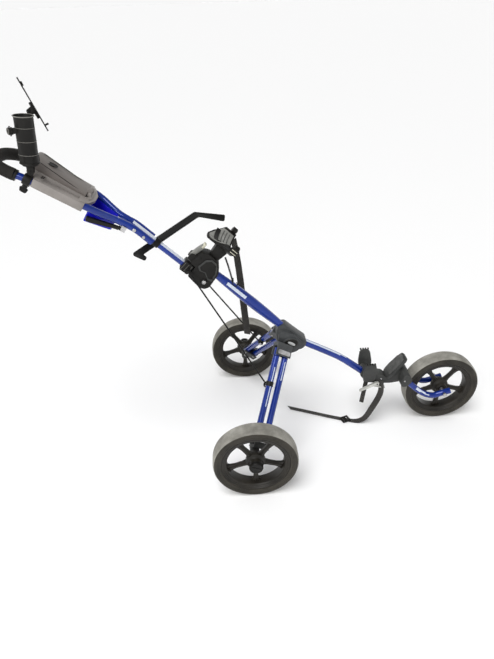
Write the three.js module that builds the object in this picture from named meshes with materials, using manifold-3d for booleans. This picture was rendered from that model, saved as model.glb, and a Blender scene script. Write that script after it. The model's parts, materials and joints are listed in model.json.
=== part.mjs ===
// Three-wheeled golf push cart: folding legs on a sliding collar, folding handle,
// bag cradle, lower bag bracket, console, umbrella holder and scorecard plate.
// Millimetres, +Z up. +X points to the front wheel and +Y to the cart's left side.
import * as THREE from 'three';
import Module from 'manifold-3d';
import * as BufferGeometryUtils from 'three/addons/utils/BufferGeometryUtils.js';

const wasm = await Module();
wasm.setup();

// ---------------------------------------------------------------- driving dimensions
const GAP = 0.3; // between pieces that touch
const RUNNING_GAP = 0.4; // round pieces that turn or slide in a hole
const SIDES = { left: 1, right: -1 };

const WHEEL_RADIUS = 148.5;
const TYRE_WIDTH = 62;
const TYRE_DEPTH = 28.5;
const RIM_DEPTH = 18;
const SPOKE_COUNT = 5;
const SPOKE_WIDTH = 15;
const SPOKE_THICKNESS = 13;
const HUB_RADIUS = 27;
const HUB_LENGTH = 58;
const AXLE_RADIUS = 8;
const CAP_RADIUS = 24;
const CAP_LENGTH = 15;
const TRACK = 690;
const WHEELBASE = 772;

const TUBE_SLOPE = 44.3; // degrees below level, walking forward
const MAIN_TUBE_START = [131, 470];
const MAIN_TUBE_LENGTH = 372;
const MAIN_TUBE_RADIUS = 13;
const MAIN_TUBE_SWELL = 6;
const MAIN_TUBE_SOCKET = 26;

const INNER_TUBE_DROP = 41; // below the main tube's axis
const INNER_TUBE_RADIUS = 12;
const INNER_TUBE_FOOT = 330;
const INNER_TUBE_TOP = 648;

const FRONT_TUBE_RADIUS = 13.5;
const FRONT_TUBE_PATH = [[192, 407], [217, 393], [290, 353], [356, 314], [419, 265], [470, 224]];

const HUB_HALF_WIDTH = 34;
const HUB_CORE_HALF_WIDTH = 21;
const HUB_BOSS = { x: 158, z: 419, width: 58, height: 42, depth: 7 };

const LEG_PIVOT = [136.4, 60, 383.7]; // front leg tube, left side
const CARRIER_ROOM = 73.21; // from a leg's lower pivot out to the wheel's middle
const LEG_REACH = [-96.71, TRACK / 2 - CARRIER_ROOM - LEG_PIVOT[1], -222.43]; // pivot to pivot, left side
const LEG_LENGTH = Math.hypot(...LEG_REACH);
const LEG_SPACING = 38;
const LEG_RADIUS = 11.5;
const LEG_END = 13; // beyond each pivot
const PIN_RADIUS = 4;
const CHEEK = 4;
const CLEVIS_GAP = 0.8;

const COLLAR_START = 403;
const COLLAR_LENGTH = 35;
const COLLAR_WIDTH = 40;
const STAY_PIN = 412;
const STAY_SPREAD = 33;
const STAY_RADIUS = 2.8;
const STAY_CLIP = 122; // down the rear leg tube
const STAY_CLIP_REACH = LEG_RADIUS + 6.5; // beside the leg tube's axis
const STAY_EYE = 8.5;
const STAY_LOOP = 11.5;
const STAY_LOOP_BORE = 8;
const STAY_PLAY = 3.6; // the lower loop hangs off its pin by this much
const LEG_FOLD = 40; // degrees a leg folds up
const STAY_EYE_THICKNESS = 6;

const BLOCK_HALF_WIDTH = 24;
const BLOCK_FOOT = 318;
const BOLT_RADIUS = 4;

const CRADLE = { foot: 345, top: 440, radius: 95, wall: 6, centre: 188, spread: 54, pad: 5 };
const CRADLE_OUTLINE = [[-345, 92], [-366, 92], [-396, 72], [-424, 46], [-440, 18]]; // seen square to the tube, one half

const HANDLE_SLOPE = 34.2;
const HANDLE_PIVOT = 633; // along the inner tube
const HANDLE_LAP = 69; // below the pivot
const HANDLE_RADIUS = 11;
const HANDLE_BACK = 442;
const HANDLE_CORNER = 70;
const HANDLE_HALF_WIDTH = 85;
const GRIP_RADIUS = 18;
const GRIP_FRONT = 368;
const RIVET_RADIUS = 3;
const RIVET_SPACING = 37;

const UMBRELLA_RADIUS = 28;
const UMBRELLA_WALL = 3;
const UMBRELLA_LENGTH = 134;
const UMBRELLA_LEAN = 28.5; // degrees back from the handle's own upright
const CLAMP_PLACE = 332;

const FORK_RADIUS = 12;
const FORK_HALF_WIDTH = 48;
const FORK_PATH = [[604, 229], [640, 192], [690, 150], [WHEELBASE - 42, 135], [WHEELBASE, 147],
  [WHEELBASE + 26, 155]];

const STRAP_RADIUS = 3;
const BEND_STEPS = 44; // along the whole handle tube

const LAP_GAP = 1; // handle tube beside the inner tube
const HANDLE_SIDE = INNER_TUBE_RADIUS + HANDLE_RADIUS + LAP_GAP;
const LEVER = { x: -31, y: -30, z: -17, length: 118, splay: 15 };
const LEVER_GAP = 6; // half the room between the lever's ears
const LEVER_PIN = 2.5;
const CONSOLE = { front: 165, back: 352, railBack: 318, tip: 142, half: 46, floor: 4, rim: 24, railWidth: 15 };
const LID_HINGE = { x: 166, z: 29 };
const POUCH = { front: 62, back: 150, depth: 45, wall: 2.5 };
const UMBRELLA_PIVOT = 31;
const KNOB_ANGLE = 35; // from straight back towards the outside
const KNOB_HEIGHT = 112;
const SCORE = {
  pivot: [-409, 0, 153], lean: 35.7, twist: -19.6, low: 62, high: 88, half: 58, offset: 18, thickness: 3.5,
};
const LOWER_HALF = 22;
const LOWER_LATCH = { x: 502, z: 203, length: 66, drop: 30 };
const LOWER_WING = {
  outline: [[448, 214], [440, 262], [446, 306], [462, 314], [486, 308], [494, 262], [492, 212]],
  lean: 13, thickness: 7, base: 216,
};
const STOP = { width: 66, length: 112, thickness: 12, foot: [544, 214], lean: 52, clear: 24 };

// ---------------------------------------------------------------- materials
const COLOURS = {
  blue: [0x1c3a9a, 0.35, 0.6],
  silver: [0xc9ccd2, 0.25, 0.9],
  black: [0x1a1a1a, 0.6, 0],
  darkGrey: [0x55564f, 0.6, 0],
  rubber: [0x8a8a80, 0.85, 0],
  rim: [0x2b2822, 0.5, 0],
  steel: [0x9a9a9a, 0.35, 0.9],
  taupe: [0x8e8680, 0.55, 0],
  padGrey: [0xa0a096, 0.8, 0],
  brightBlue: [0x1a16c8, 0.5, 0],
  webbing: [0x15140f, 0.9, 0],
};

function material(name) {
  const [color, roughness, metalness] = COLOURS[name];
  return new THREE.MeshStandardMaterial({ color, roughness, metalness });
}

// ---------------------------------------------------------------- solids
function toSolid(geometry) {
  const bare = geometry.clone();
  for (const attribute of ['normal', 'uv']) bare.deleteAttribute(attribute);
  const merged = BufferGeometryUtils.mergeVertices(bare, 1e-3);
  return new wasm.Manifold(new wasm.Mesh({
    numProp: 3,
    vertProperties: new Float32Array(merged.attributes.position.array),
    triVerts: new Uint32Array(merged.index.array),
  }));
}

function toGeometry(solid) {
  const mesh = solid.getMesh();
  const geometry = new THREE.BufferGeometry();
  geometry.setAttribute('position', new THREE.BufferAttribute(new Float32Array(mesh.vertProperties), 3));
  geometry.setIndex(new THREE.BufferAttribute(new Uint32Array(mesh.triVerts), 1));
  geometry.computeVertexNormals();
  return geometry;
}

function joined(first, ...others) {
  return toGeometry(others.reduce((sum, other) => sum.add(toSolid(other)), toSolid(first)));
}

function cutBy(base, ...tools) {
  return toGeometry(tools.reduce((rest, tool) => rest.subtract(toSolid(tool)), toSolid(base)));
}

// ---------------------------------------------------------------- shapes
const vector = ([x, y, z]) => new THREE.Vector3(x, y, z);

function barBetween(from, to, radius, sides = 14) {
  const direction = to.clone().sub(from);
  const bar = new THREE.CylinderGeometry(radius, radius, direction.length(), sides);
  bar.applyQuaternion(new THREE.Quaternion().setFromUnitVectors(
    new THREE.Vector3(0, 1, 0), direction.clone().normalize()));
  return bar.translate(...from.clone().add(to).multiplyScalar(0.5).toArray());
}

// A round bar across the cart, between two values of Y.
function crossBar(x, z, radius, yFrom, yTo, sides = 16) {
  return barBetween(vector([x, yFrom, z]), vector([x, yTo, z]), radius, sides);
}

function roundedShape(points, radius) {
  const shape = new THREE.Shape();
  const count = points.length;
  points.forEach((point, index) => {
    const corner = new THREE.Vector2(...point);
    const before = new THREE.Vector2(...points[(index + count - 1) % count]);
    const after = new THREE.Vector2(...points[(index + 1) % count]);
    const reach = Math.min(radius, corner.distanceTo(before) / 2.2, corner.distanceTo(after) / 2.2);
    const start = corner.clone().add(before.sub(corner).setLength(reach));
    const end = corner.clone().add(after.sub(corner).setLength(reach));
    if (index === 0) shape.moveTo(start.x, start.y);
    else shape.lineTo(start.x, start.y);
    shape.quadraticCurveTo(corner.x, corner.y, end.x, end.y);
  });
  shape.closePath();
  return shape;
}

// An outline in X and Z, given its thickness across the cart.
function slab(points, yFrom, yTo, radius = 4, segments = 3) {
  const depth = yTo - yFrom;
  const plate = new THREE.ExtrudeGeometry(roundedShape(points, radius),
    { depth, bevelEnabled: false, curveSegments: segments });
  return plate.rotateX(Math.PI / 2).translate(0, yTo, 0);
}

// An outline in X and Y, given its thickness upwards.
function deck(points, zFrom, zTo, radius = 6, segments = 4) {
  const plate = new THREE.ExtrudeGeometry(roundedShape(points, radius),
    { depth: zTo - zFrom, bevelEnabled: false, curveSegments: segments });
  return plate.translate(0, 0, zFrom);
}

function box(xFrom, xTo, yFrom, yTo, zFrom, zTo) {
  const block = new THREE.BoxGeometry(xTo - xFrom, yTo - yFrom, zTo - zFrom);
  return block.translate((xFrom + xTo) / 2, (yFrom + yTo) / 2, (zFrom + zTo) / 2);
}

function ringShape(radius, bore = 0) {
  const shape = new THREE.Shape();
  shape.absarc(0, 0, radius, 0, Math.PI * 2);
  if (bore > 0) {
    const hole = new THREE.Path();
    hole.absarc(0, 0, bore, 0, Math.PI * 2, true);
    shape.holes.push(hole);
  }
  return shape;
}

function bentTube(points, radius, steps, { bore = 0, curveSegments = 6 } = {}) {
  const path = new THREE.CatmullRomCurve3(points.map(vector), false, 'centripetal');
  return new THREE.ExtrudeGeometry(ringShape(radius, bore),
    { steps, bevelEnabled: false, extrudePath: path, curveSegments });
}

// A ring or cup turned about the Y axis; the profile holds [radius, y].
function turned(profile, segments = 32) {
  const points = profile.map(([radius, y]) => new THREE.Vector2(radius, y));
  return new THREE.LatheGeometry(points, segments);
}

const mirrored = (points, side) => points.map(([x, y, z]) => [x, y * side, z]);

// ---------------------------------------------------------------- scene graph
const cart = new THREE.Group();

function frameAt(parent, x, z, slope) {
  const frame = new THREE.Group();
  frame.position.set(x, 0, z);
  frame.rotation.y = THREE.MathUtils.degToRad(slope);
  parent.add(frame);
  return frame;
}

function piece(parent, name, geometry, colour) {
  const mesh = new THREE.Mesh(geometry, material(colour));
  mesh.name = name;
  parent.add(mesh);
  return mesh;
}

// tubeFrame: X runs down the main tube from the hub, so places up the tube are negative.
const tubeFrame = frameAt(cart, ...MAIN_TUBE_START, TUBE_SLOPE);
// handleFrame: X runs down the handle, zero at the handle's fold pivot.
const handleFrame = frameAt(tubeFrame, -HANDLE_PIVOT, -INNER_TUBE_DROP, HANDLE_SLOPE - TUBE_SLOPE);

// ---------------------------------------------------------------- wheels
function rimGeometry() {
  const outer = WHEEL_RADIUS - TYRE_DEPTH - GAP;
  const inner = outer - RIM_DEPTH;
  const half = TYRE_WIDTH / 2 - 5;
  const barrel = turned([[inner + 3, -8], [inner, -half], [outer, -half - 1], [outer, half + 1],
    [inner, half], [inner + 3, 8], [inner + 3, -8]]);
  const hub = turned([[0, -HUB_LENGTH / 2], [HUB_RADIUS - 6, -HUB_LENGTH / 2], [HUB_RADIUS, -10],
    [HUB_RADIUS, 10], [HUB_RADIUS - 6, HUB_LENGTH / 2], [0, HUB_LENGTH / 2]], 16);
  const spokes = [];
  for (let index = 0; index < SPOKE_COUNT; index += 1) {
    const spoke = box(HUB_RADIUS - 6, inner + 5, -SPOKE_THICKNESS / 2, SPOKE_THICKNESS / 2,
      -SPOKE_WIDTH / 2, SPOKE_WIDTH / 2);
    spokes.push(spoke.rotateY((index / SPOKE_COUNT + 0.05) * Math.PI * 2));
  }
  const bore = crossBar(0, 0, AXLE_RADIUS + RUNNING_GAP, -HUB_LENGTH, HUB_LENGTH);
  return cutBy(joined(barrel, hub, ...spokes), bore);
}

function tyreGeometry() {
  const half = TYRE_WIDTH / 2;
  const bead = WHEEL_RADIUS - TYRE_DEPTH;
  return turned([[bead, -half + 4], [bead + 14, -half], [WHEEL_RADIUS - 3, -half + 4],
    [WHEEL_RADIUS, -half + 16], [WHEEL_RADIUS, half - 16], [WHEEL_RADIUS - 3, half - 4],
    [bead + 14, half], [bead, half - 4], [bead, -half + 4]], 32);
}

function capGeometry(side) {
  const start = HUB_LENGTH / 2 + GAP;
  const cap = turned([[0, 4], [CAP_RADIUS - 10, 4], [CAP_RADIUS - 6, 0], [CAP_RADIUS, 0],
    [CAP_RADIUS, CAP_LENGTH - 4], [CAP_RADIUS - 5, CAP_LENGTH], [0, CAP_LENGTH]], 16);
  return cap.translate(0, start, 0).rotateZ(side > 0 ? 0 : Math.PI);
}

function addWheel(name, x, y) {
  const wheel = new THREE.Group();
  wheel.position.set(x, y, WHEEL_RADIUS);
  cart.add(wheel);
  piece(wheel, `${name}_rim`, rimGeometry(), 'rim');
  piece(wheel, `${name}_tyre`, tyreGeometry(), 'rubber');
  if (y !== 0) piece(wheel, `${name}_hub_cap`, capGeometry(Math.sign(y)), 'black');
}

addWheel('rear_wheel_left', 0, TRACK / 2);
addWheel('rear_wheel_right', 0, -TRACK / 2);
addWheel('front_wheel', WHEELBASE, 0);

// ---------------------------------------------------------------- legs
const legDown = vector(LEG_REACH).normalize();
const tubeUp = new THREE.Vector3(-Math.cos(THREE.MathUtils.degToRad(TUBE_SLOPE)), 0,
  Math.sin(THREE.MathUtils.degToRad(TUBE_SLOPE)));
const legAcross = tubeUp.clone().addScaledVector(legDown, -tubeUp.dot(legDown)).normalize();

// Local X runs down the leg, Z to the rear leg tube and Y along the pivot pins.
function legMatrix(side, down = 0) {
  const x = new THREE.Vector3(legDown.x, legDown.y * side, legDown.z);
  const z = new THREE.Vector3(legAcross.x, legAcross.y * side, legAcross.z);
  const y = z.clone().cross(x);
  const pivot = vector(mirrored([LEG_PIVOT], side)[0]).addScaledVector(x, down);
  return new THREE.Matrix4().makeBasis(x, y, z).setPosition(pivot);
}
// Local Y points to the middle of the cart on the left side and away from it on the right.
const inward = (side) => side;

function legTube(withClip, side) {
  const tube = barBetween(vector([-LEG_END, 0, 0]), vector([LEG_LENGTH + LEG_END, 0, 0]), LEG_RADIUS, 16);
  const pinHoles = [0, LEG_LENGTH].map((x) => crossBar(x, 0, PIN_RADIUS + RUNNING_GAP, -30, 30, 12));
  if (!withClip) return cutBy(tube, ...pinHoles);
  const reach = inward(side) * (STAY_CLIP_REACH + STAY_EYE_THICKNESS);
  const clip = crossBar(STAY_CLIP, 0, PIN_RADIUS, 0, reach, 12);
  const band = barBetween(vector([STAY_CLIP - 9, 0, 0]), vector([STAY_CLIP + 9, 0, 0]), LEG_RADIUS + 2, 16);
  return cutBy(joined(tube, band, clip), ...pinHoles);
}

// Two cheeks and a web that carry both leg tubes' pins, the web on the side given.
function clevis(webSide) {
  const inner = LEG_RADIUS + CLEVIS_GAP;
  const outer = inner + CHEEK;
  const zLow = -LEG_END;
  const zHigh = LEG_SPACING + LEG_END;
  const near = webSide > 0 ? -LEG_END : -30;
  const far = webSide > 0 ? 30 : LEG_END;
  const cheeks = [-1, 1].map((turn) => box(near, far, turn > 0 ? inner : -outer,
    turn > 0 ? outer : -inner, zLow, zHigh));
  const web = webSide > 0 ? box(20, 30, -outer, outer, zLow, zHigh) : box(-34, -20, -outer, outer, zLow, zHigh);
  return [web, ...cheeks];
}

function pinHolesFor() {
  return [0, LEG_SPACING].map((z) => crossBar(0, z, PIN_RADIUS + GAP, -40, 40, 12));
}

// Two pins on one retaining strap, pushed in from outside.
function pinPlate(side) {
  const outer = LEG_RADIUS + CLEVIS_GAP + CHEEK;
  const face = -inward(side);
  const pins = [0, LEG_SPACING].map((z) => crossBar(0, z, PIN_RADIUS, -face * (outer + 2), face * (outer + 1), 12));
  const from = face * (outer + GAP);
  const to = face * (outer + GAP + 3);
  const strap = slab([[-8, -8], [8, -8], [8, LEG_SPACING + 8], [-8, LEG_SPACING + 8]],
    Math.min(from, to), Math.max(from, to), 7, 3);
  return joined(strap, ...pins);
}

function placed(geometry, matrix) {
  return geometry.applyMatrix4(matrix);
}

function carrierGeometry(side) {
  const matrix = legMatrix(side, LEG_LENGTH);
  const [web, ...cheeks] = clevis(1).map((part) => placed(part, matrix));
  const holes = pinHolesFor().map((part) => placed(part, matrix));
  const bossFrom = side * 280;
  const bossTo = side * (TRACK / 2 - HUB_LENGTH / 2 - 2);
  const boss = crossBar(0, WHEEL_RADIUS, 17, bossFrom, bossTo, 20);
  const bore = crossBar(0, WHEEL_RADIUS, AXLE_RADIUS + GAP, side * 260, side * 330, 20);
  return cutBy(joined(web, ...cheeks, boss), ...holes, bore);
}

function addLeg(name, side) {
  piece(cart, `leg_front_tube_${name}`, placed(legTube(false, side), legMatrix(side)), 'blue');
  const rearMatrix = legMatrix(side).multiply(new THREE.Matrix4().makeTranslation(0, 0, LEG_SPACING));
  piece(cart, `leg_rear_tube_${name}`, placed(legTube(true, side), rearMatrix), 'blue');
  piece(cart, `leg_pin_plate_${name}`, placed(pinPlate(side), legMatrix(side)), 'steel');
  piece(cart, `carrier_pin_plate_${name}`, placed(pinPlate(side), legMatrix(side, LEG_LENGTH)), 'steel');
  piece(cart, `wheel_carrier_${name}`, carrierGeometry(side), 'darkGrey');
  const axleEnd = side * (TRACK / 2 + HUB_LENGTH / 2 - 1);
  piece(cart, `rear_axle_${name}`, crossBar(0, WHEEL_RADIUS, AXLE_RADIUS, side * 283, axleEnd), 'steel');
}

// ---------------------------------------------------------------- stays
function discAt(centre, axis, radius, thickness) {
  const half = axis.clone().normalize().multiplyScalar(thickness / 2);
  return barBetween(centre.clone().sub(half), centre.clone().add(half), radius, 16);
}

function stayTop(side) {
  tubeFrame.updateMatrixWorld(true);
  return tubeFrame.localToWorld(new THREE.Vector3(-STAY_PIN, STAY_SPREAD * side, -INNER_TUBE_DROP));
}

// The loop's play is taken up in the direction the leg points when half folded.
function stayFoot(side) {
  const halfway = THREE.MathUtils.degToRad(LEG_FOLD / 2);
  const local = new THREE.Vector3(STAY_CLIP + STAY_PLAY * Math.cos(halfway),
    inward(side) * STAY_CLIP_REACH, LEG_SPACING + STAY_PLAY * Math.sin(halfway));
  return local.applyMatrix4(legMatrix(side));
}

function pinAxis(side) {
  return new THREE.Vector3(0, 1, 0).transformDirection(legMatrix(side));
}

function addStay(name, side) {
  const top = stayTop(side);
  const foot = stayFoot(side);
  const acrossCart = new THREE.Vector3(0, 1, 0);
  const across = pinAxis(side);
  const rod = joined(barBetween(top, foot, STAY_RADIUS, 10),
    discAt(top, acrossCart, STAY_EYE, STAY_EYE_THICKNESS), discAt(foot, across, STAY_LOOP, STAY_EYE_THICKNESS));
  piece(cart, `stay_rod_${name}`, cutBy(rod, discAt(top, acrossCart, PIN_RADIUS + 2 * GAP, 20),
    discAt(foot, across, STAY_LOOP_BORE, 14)), 'black');
}

for (const [name, side] of Object.entries(SIDES)) {
  addLeg(name, side);
  addStay(name, side);
}

// ---------------------------------------------------------------- main frame
function mainTubeGeometry(extra = 0) {
  const profile = [[0, -MAIN_TUBE_SOCKET]];
  const steps = 8;
  for (let step = 0; step <= steps; step += 1) {
    const along = BLOCK_FOOT * (step / steps);
    const swell = MAIN_TUBE_SWELL * Math.sin(Math.PI * (step / steps));
    if (step === 0) profile.push([MAIN_TUBE_RADIUS + extra, -MAIN_TUBE_SOCKET]);
    profile.push([MAIN_TUBE_RADIUS + swell + extra, along]);
  }
  profile.push([MAIN_TUBE_RADIUS + extra, MAIN_TUBE_LENGTH], [0, MAIN_TUBE_LENGTH]);
  return turned(profile, 16).rotateZ(Math.PI / 2);
}

const inCart = (geometry, frame) => {
  frame.updateMatrixWorld(true);
  return geometry.applyMatrix4(frame.matrixWorld);
};

const frontPath = FRONT_TUBE_PATH.map(([x, z]) => [x, 0, z]);

function hubGeometry() {
  const coreOutline = [[114, 482], [138, 488], [190, 440], [219, 416], [218, 394], [204, 378],
    [160, 370], [122, 382], [108, 410], [106, 462]];
  const cheekOutline = [[116, 462], [138, 466], [174, 446], [198, 420], [198, 396], [184, 378],
    [160, 370], [122, 382], [108, 410]];
  const core = slab(coreOutline, -HUB_CORE_HALF_WIDTH, HUB_CORE_HALF_WIDTH, 9, 3);
  const cheeks = slab(cheekOutline, -HUB_HALF_WIDTH, HUB_HALF_WIDTH, 9, 3);
  const { x, z, width, height, depth } = HUB_BOSS;
  const boss = new THREE.CylinderGeometry(width / 2, width / 2, 2 * (HUB_HALF_WIDTH + depth), 28);
  boss.scale(1, 1, height / width).translate(x, 0, z);
  const ears = Object.values(SIDES).flatMap((side) => clevis(-1).map((part) => placed(part, legMatrix(side))));
  const holes = Object.values(SIDES).flatMap((side) => pinHolesFor().map((part) => placed(part, legMatrix(side))));
  return cutBy(joined(core, cheeks, boss, ...ears), ...holes,
    inCart(mainTubeGeometry(GAP), tubeFrame),
    bentTube(frontPath, FRONT_TUBE_RADIUS + GAP, 12));
}

piece(tubeFrame, 'main_tube', mainTubeGeometry(), 'blue');
piece(cart, 'front_tube', bentTube(frontPath, FRONT_TUBE_RADIUS, 12), 'blue');
piece(cart, 'hub_body', hubGeometry(), 'darkGrey');

// ---------------------------------------------------------------- upper block, inner tube, collar
const innerAxis = -INNER_TUBE_DROP;

function innerTubeBar(radius, from, to, sides = 20) {
  return barBetween(vector([-to, 0, innerAxis]), vector([-from, 0, innerAxis]), radius, sides);
}

const BOLT_PLACE = 344;

function blockGeometry() {
  const outline = [[-400, -60], [-345, -68], [-325, -62], [-316, -45], [-320, -20], [-324, 12],
    [-340, 34], [-352, 46], [-395, 48], [-420, 34], [-424, -6], [-424, -17], [-400, -17]];
  const body = slab(outline, -BLOCK_HALF_WIDTH, BLOCK_HALF_WIDTH, 6, 2);
  const ears = [-1, 1].map((turn) => slab([[-415, -14], [-441, -12], [-441, 10], [-415, 16]],
    turn > 0 ? 11 : -16, turn > 0 ? 16 : -11, 4, 2));
  const latchPin = crossBar(LATCH_PLACE, 0, LATCH_PIN_RADIUS, -16, 16, 12);
  const bolt = crossBar(-BOLT_PLACE, innerAxis, BOLT_RADIUS + GAP, -40, 40, 16);
  return cutBy(joined(body, ...ears, latchPin), bolt,
    innerTubeBar(INNER_TUBE_RADIUS + GAP, INNER_TUBE_FOOT - GAP, 500),
    mainTubeGeometry(GAP));
}

const LATCH_PLACE = -432;
const LATCH_PIN_RADIUS = 3;

function latchGeometry() {
  const lever = slab([[-437, -6], [-427, -6], [-426, 12], [-420, 40], [-420, 62], [-427, 62],
    [-434, 36], [-439, 12]], -9, 9, 4, 3);
  return cutBy(lever, crossBar(LATCH_PLACE, 0, LATCH_PIN_RADIUS + RUNNING_GAP, -20, 20, 12));
}

function boltGeometry() {
  const head = BLOCK_HALF_WIDTH + GAP;
  return joined(crossBar(-BOLT_PLACE, innerAxis, BOLT_RADIUS, -head - 2, head + 2, 16),
    crossBar(-BOLT_PLACE, innerAxis, 8, -head - 5, -head, 6),
    crossBar(-BOLT_PLACE, innerAxis, 8, head, head + 5, 6));
}

function collarGeometry() {
  const from = -(COLLAR_START + COLLAR_LENGTH);
  const to = -COLLAR_START;
  const half = COLLAR_WIDTH / 2;
  const outline = [[from, innerAxis - 19], [to, innerAxis - 19], [to, innerAxis + 19], [from, innerAxis + 19]];
  const body = slab(outline, -half, half, 5, 3);
  const pins = crossBar(-STAY_PIN, innerAxis, PIN_RADIUS, -STAY_SPREAD - 6, STAY_SPREAD + 6, 16);
  return cutBy(joined(body, pins), innerTubeBar(INNER_TUBE_RADIUS + RUNNING_GAP, 300, 600));
}

function innerTubeGeometry() {
  const pivot = crossBar(-HANDLE_PIVOT, innerAxis, RIVET_RADIUS + GAP, -20, 20, 12);
  const bolt = crossBar(-BOLT_PLACE, innerAxis, BOLT_RADIUS + GAP, -20, 20, 16);
  return cutBy(innerTubeBar(INNER_TUBE_RADIUS, INNER_TUBE_FOOT, INNER_TUBE_TOP), bolt, pivot);
}

piece(tubeFrame, 'inner_tube', innerTubeGeometry(), 'silver');
piece(tubeFrame, 'upper_block', blockGeometry(), 'black');
piece(tubeFrame, 'block_bolt', boltGeometry(), 'steel');
piece(tubeFrame, 'latch_lever', latchGeometry(), 'padGrey');
piece(tubeFrame, 'slide_collar', collarGeometry(), 'black');

// ---------------------------------------------------------------- bag cradle
function arcBand(inner, outer, halfAngle, steps = 16) {
  const shape = new THREE.Shape();
  const low = -Math.PI / 2 - THREE.MathUtils.degToRad(halfAngle);
  const high = -Math.PI / 2 + THREE.MathUtils.degToRad(halfAngle);
  for (let step = 0; step <= steps; step += 1) {
    const angle = low + (high - low) * (step / steps);
    const point = [outer * Math.cos(angle), outer * Math.sin(angle)];
    if (step === 0) shape.moveTo(...point);
    else shape.lineTo(...point);
  }
  for (let step = steps; step >= 0; step -= 1) {
    const angle = low + (high - low) * (step / steps);
    shape.lineTo(inner * Math.cos(angle), inner * Math.sin(angle));
  }
  shape.closePath();
  return shape;
}

// A band bent about the tube's direction: outline in Y and Z, length along X.
function arcTrough(inner, outer, halfAngle, xFrom, xTo, centre) {
  const band = new THREE.ExtrudeGeometry(arcBand(inner, outer, halfAngle),
    { depth: xTo - xFrom, bevelEnabled: false });
  const stand = new THREE.Matrix4().makeBasis(new THREE.Vector3(0, 1, 0), new THREE.Vector3(0, 0, 1),
    new THREE.Vector3(1, 0, 0));
  return band.applyMatrix4(stand).translate(xFrom, 0, centre);
}

// The part of a cradle piece that lies inside the cradle's outline, drawn in by inset.
function insideOutline(geometry, inset) {
  const half = CRADLE_OUTLINE.map(([x, y]) => [x + (x < -400 ? inset : 0), y - inset]);
  const outline = [...half, ...half.map(([x, y]) => [x, -y]).reverse()];
  const shape = new THREE.Shape(outline.map(([x, y]) => new THREE.Vector2(x, y)));
  const prism = new THREE.ExtrudeGeometry(shape, { depth: 200, bevelEnabled: false }).translate(0, 0, 55);
  return toGeometry(toSolid(geometry).intersect(toSolid(prism)));
}

function cradleGeometry() {
  const { foot, top, radius, wall, centre, spread } = CRADLE;
  const shell = insideOutline(arcTrough(radius, radius + wall, spread, -top, -foot, centre), 0);
  const base = 48 + GAP;
  const bottom = centre - radius;
  const post = slab([[-392, base], [-356, base], [-350, bottom - 1], [-398, bottom - 1]], -15, 15, 4, 2);
  const ears = [-1, 1].map((turn) => {
    const angle = THREE.MathUtils.degToRad(spread);
    const y = turn * (radius + wall / 2) * Math.sin(angle);
    const z = centre - (radius + wall / 2) * Math.cos(angle);
    return barBetween(vector([-368, y, z + 8]), vector([-352, y, z + 8]), 11, 14);
  });
  return joined(post, shell, ...ears);
}

function cradlePadGeometry() {
  const { foot, top, radius, centre, spread, pad } = CRADLE;
  return insideOutline(arcTrough(radius - pad, radius - GAP, spread - 7, -top + 4, -foot - 6, centre), 5);
}

piece(tubeFrame, 'bag_cradle', cradleGeometry(), 'black');
piece(tubeFrame, 'cradle_pad', cradlePadGeometry(), 'padGrey');

// ---------------------------------------------------------------- support bail and its link wire
const BAIL = {
  elbow: [-358, -12, 790], high: [-156, 108, 876], end: [-60, 100, 860],
  width: 24, thickness: 5, hook: 34, ring: 4, place: 548, length: 20,
};

function bailGeometry() {
  const [elbow, high, end] = [BAIL.elbow, BAIL.high, BAIL.end].map(vector);
  const along = high.clone().sub(elbow).normalize();
  const normal = along.clone().cross(end.clone().sub(elbow)).normalize();
  const across = normal.clone().cross(along);
  const flat = (point) => {
    const step = point.clone().sub(elbow);
    return new THREE.Vector2(step.dot(along), step.dot(across));
  };
  const half = BAIL.width / 2;
  const tip = flat(end);
  const knee = flat(high);
  const reach = tip.clone().sub(knee).normalize();
  const side = new THREE.Vector2(-reach.y, reach.x).multiplyScalar(half);
  const hookAngle = 1.15;
  const hook = new THREE.Vector2(Math.cos(hookAngle), Math.sin(hookAngle)).multiplyScalar(BAIL.hook);
  const lean = new THREE.Vector2(-Math.sin(hookAngle), Math.cos(hookAngle)).multiplyScalar(half * 0.6);
  const outline = [
    [-6, -half], [knee.x + side.x * 0.2, knee.y - half], [tip.x - side.x, tip.y - side.y],
    [tip.x + side.x, tip.y + side.y], [knee.x, knee.y + half], [16, half],
    [hook.x - lean.x, hook.y - lean.y], [hook.x + lean.x, hook.y + lean.y], [-12, -half * 0.4],
  ];
  const plate = new THREE.ExtrudeGeometry(roundedShape(outline, 5),
    { depth: BAIL.thickness, bevelEnabled: false, curveSegments: 2 });
  plate.applyMatrix4(new THREE.Matrix4().makeBasis(along, across, normal).setPosition(elbow));
  const { place, length, ring } = BAIL;
  const clamp = innerTubeBar(INNER_TUBE_RADIUS + ring, place - length / 2, place + length / 2, 16);
  const arm = box(-place - length / 2, -place + length / 2, 8, 26, innerAxis - 17, innerAxis - 3);
  const bore = innerTubeBar(INNER_TUBE_RADIUS + GAP, place - length, place + length);
  return cutBy(joined(plate, inCart(clamp, tubeFrame), inCart(arm, tubeFrame)), inCart(bore, tubeFrame));
}

piece(cart, 'support_bail', bailGeometry(), 'black');

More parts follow.
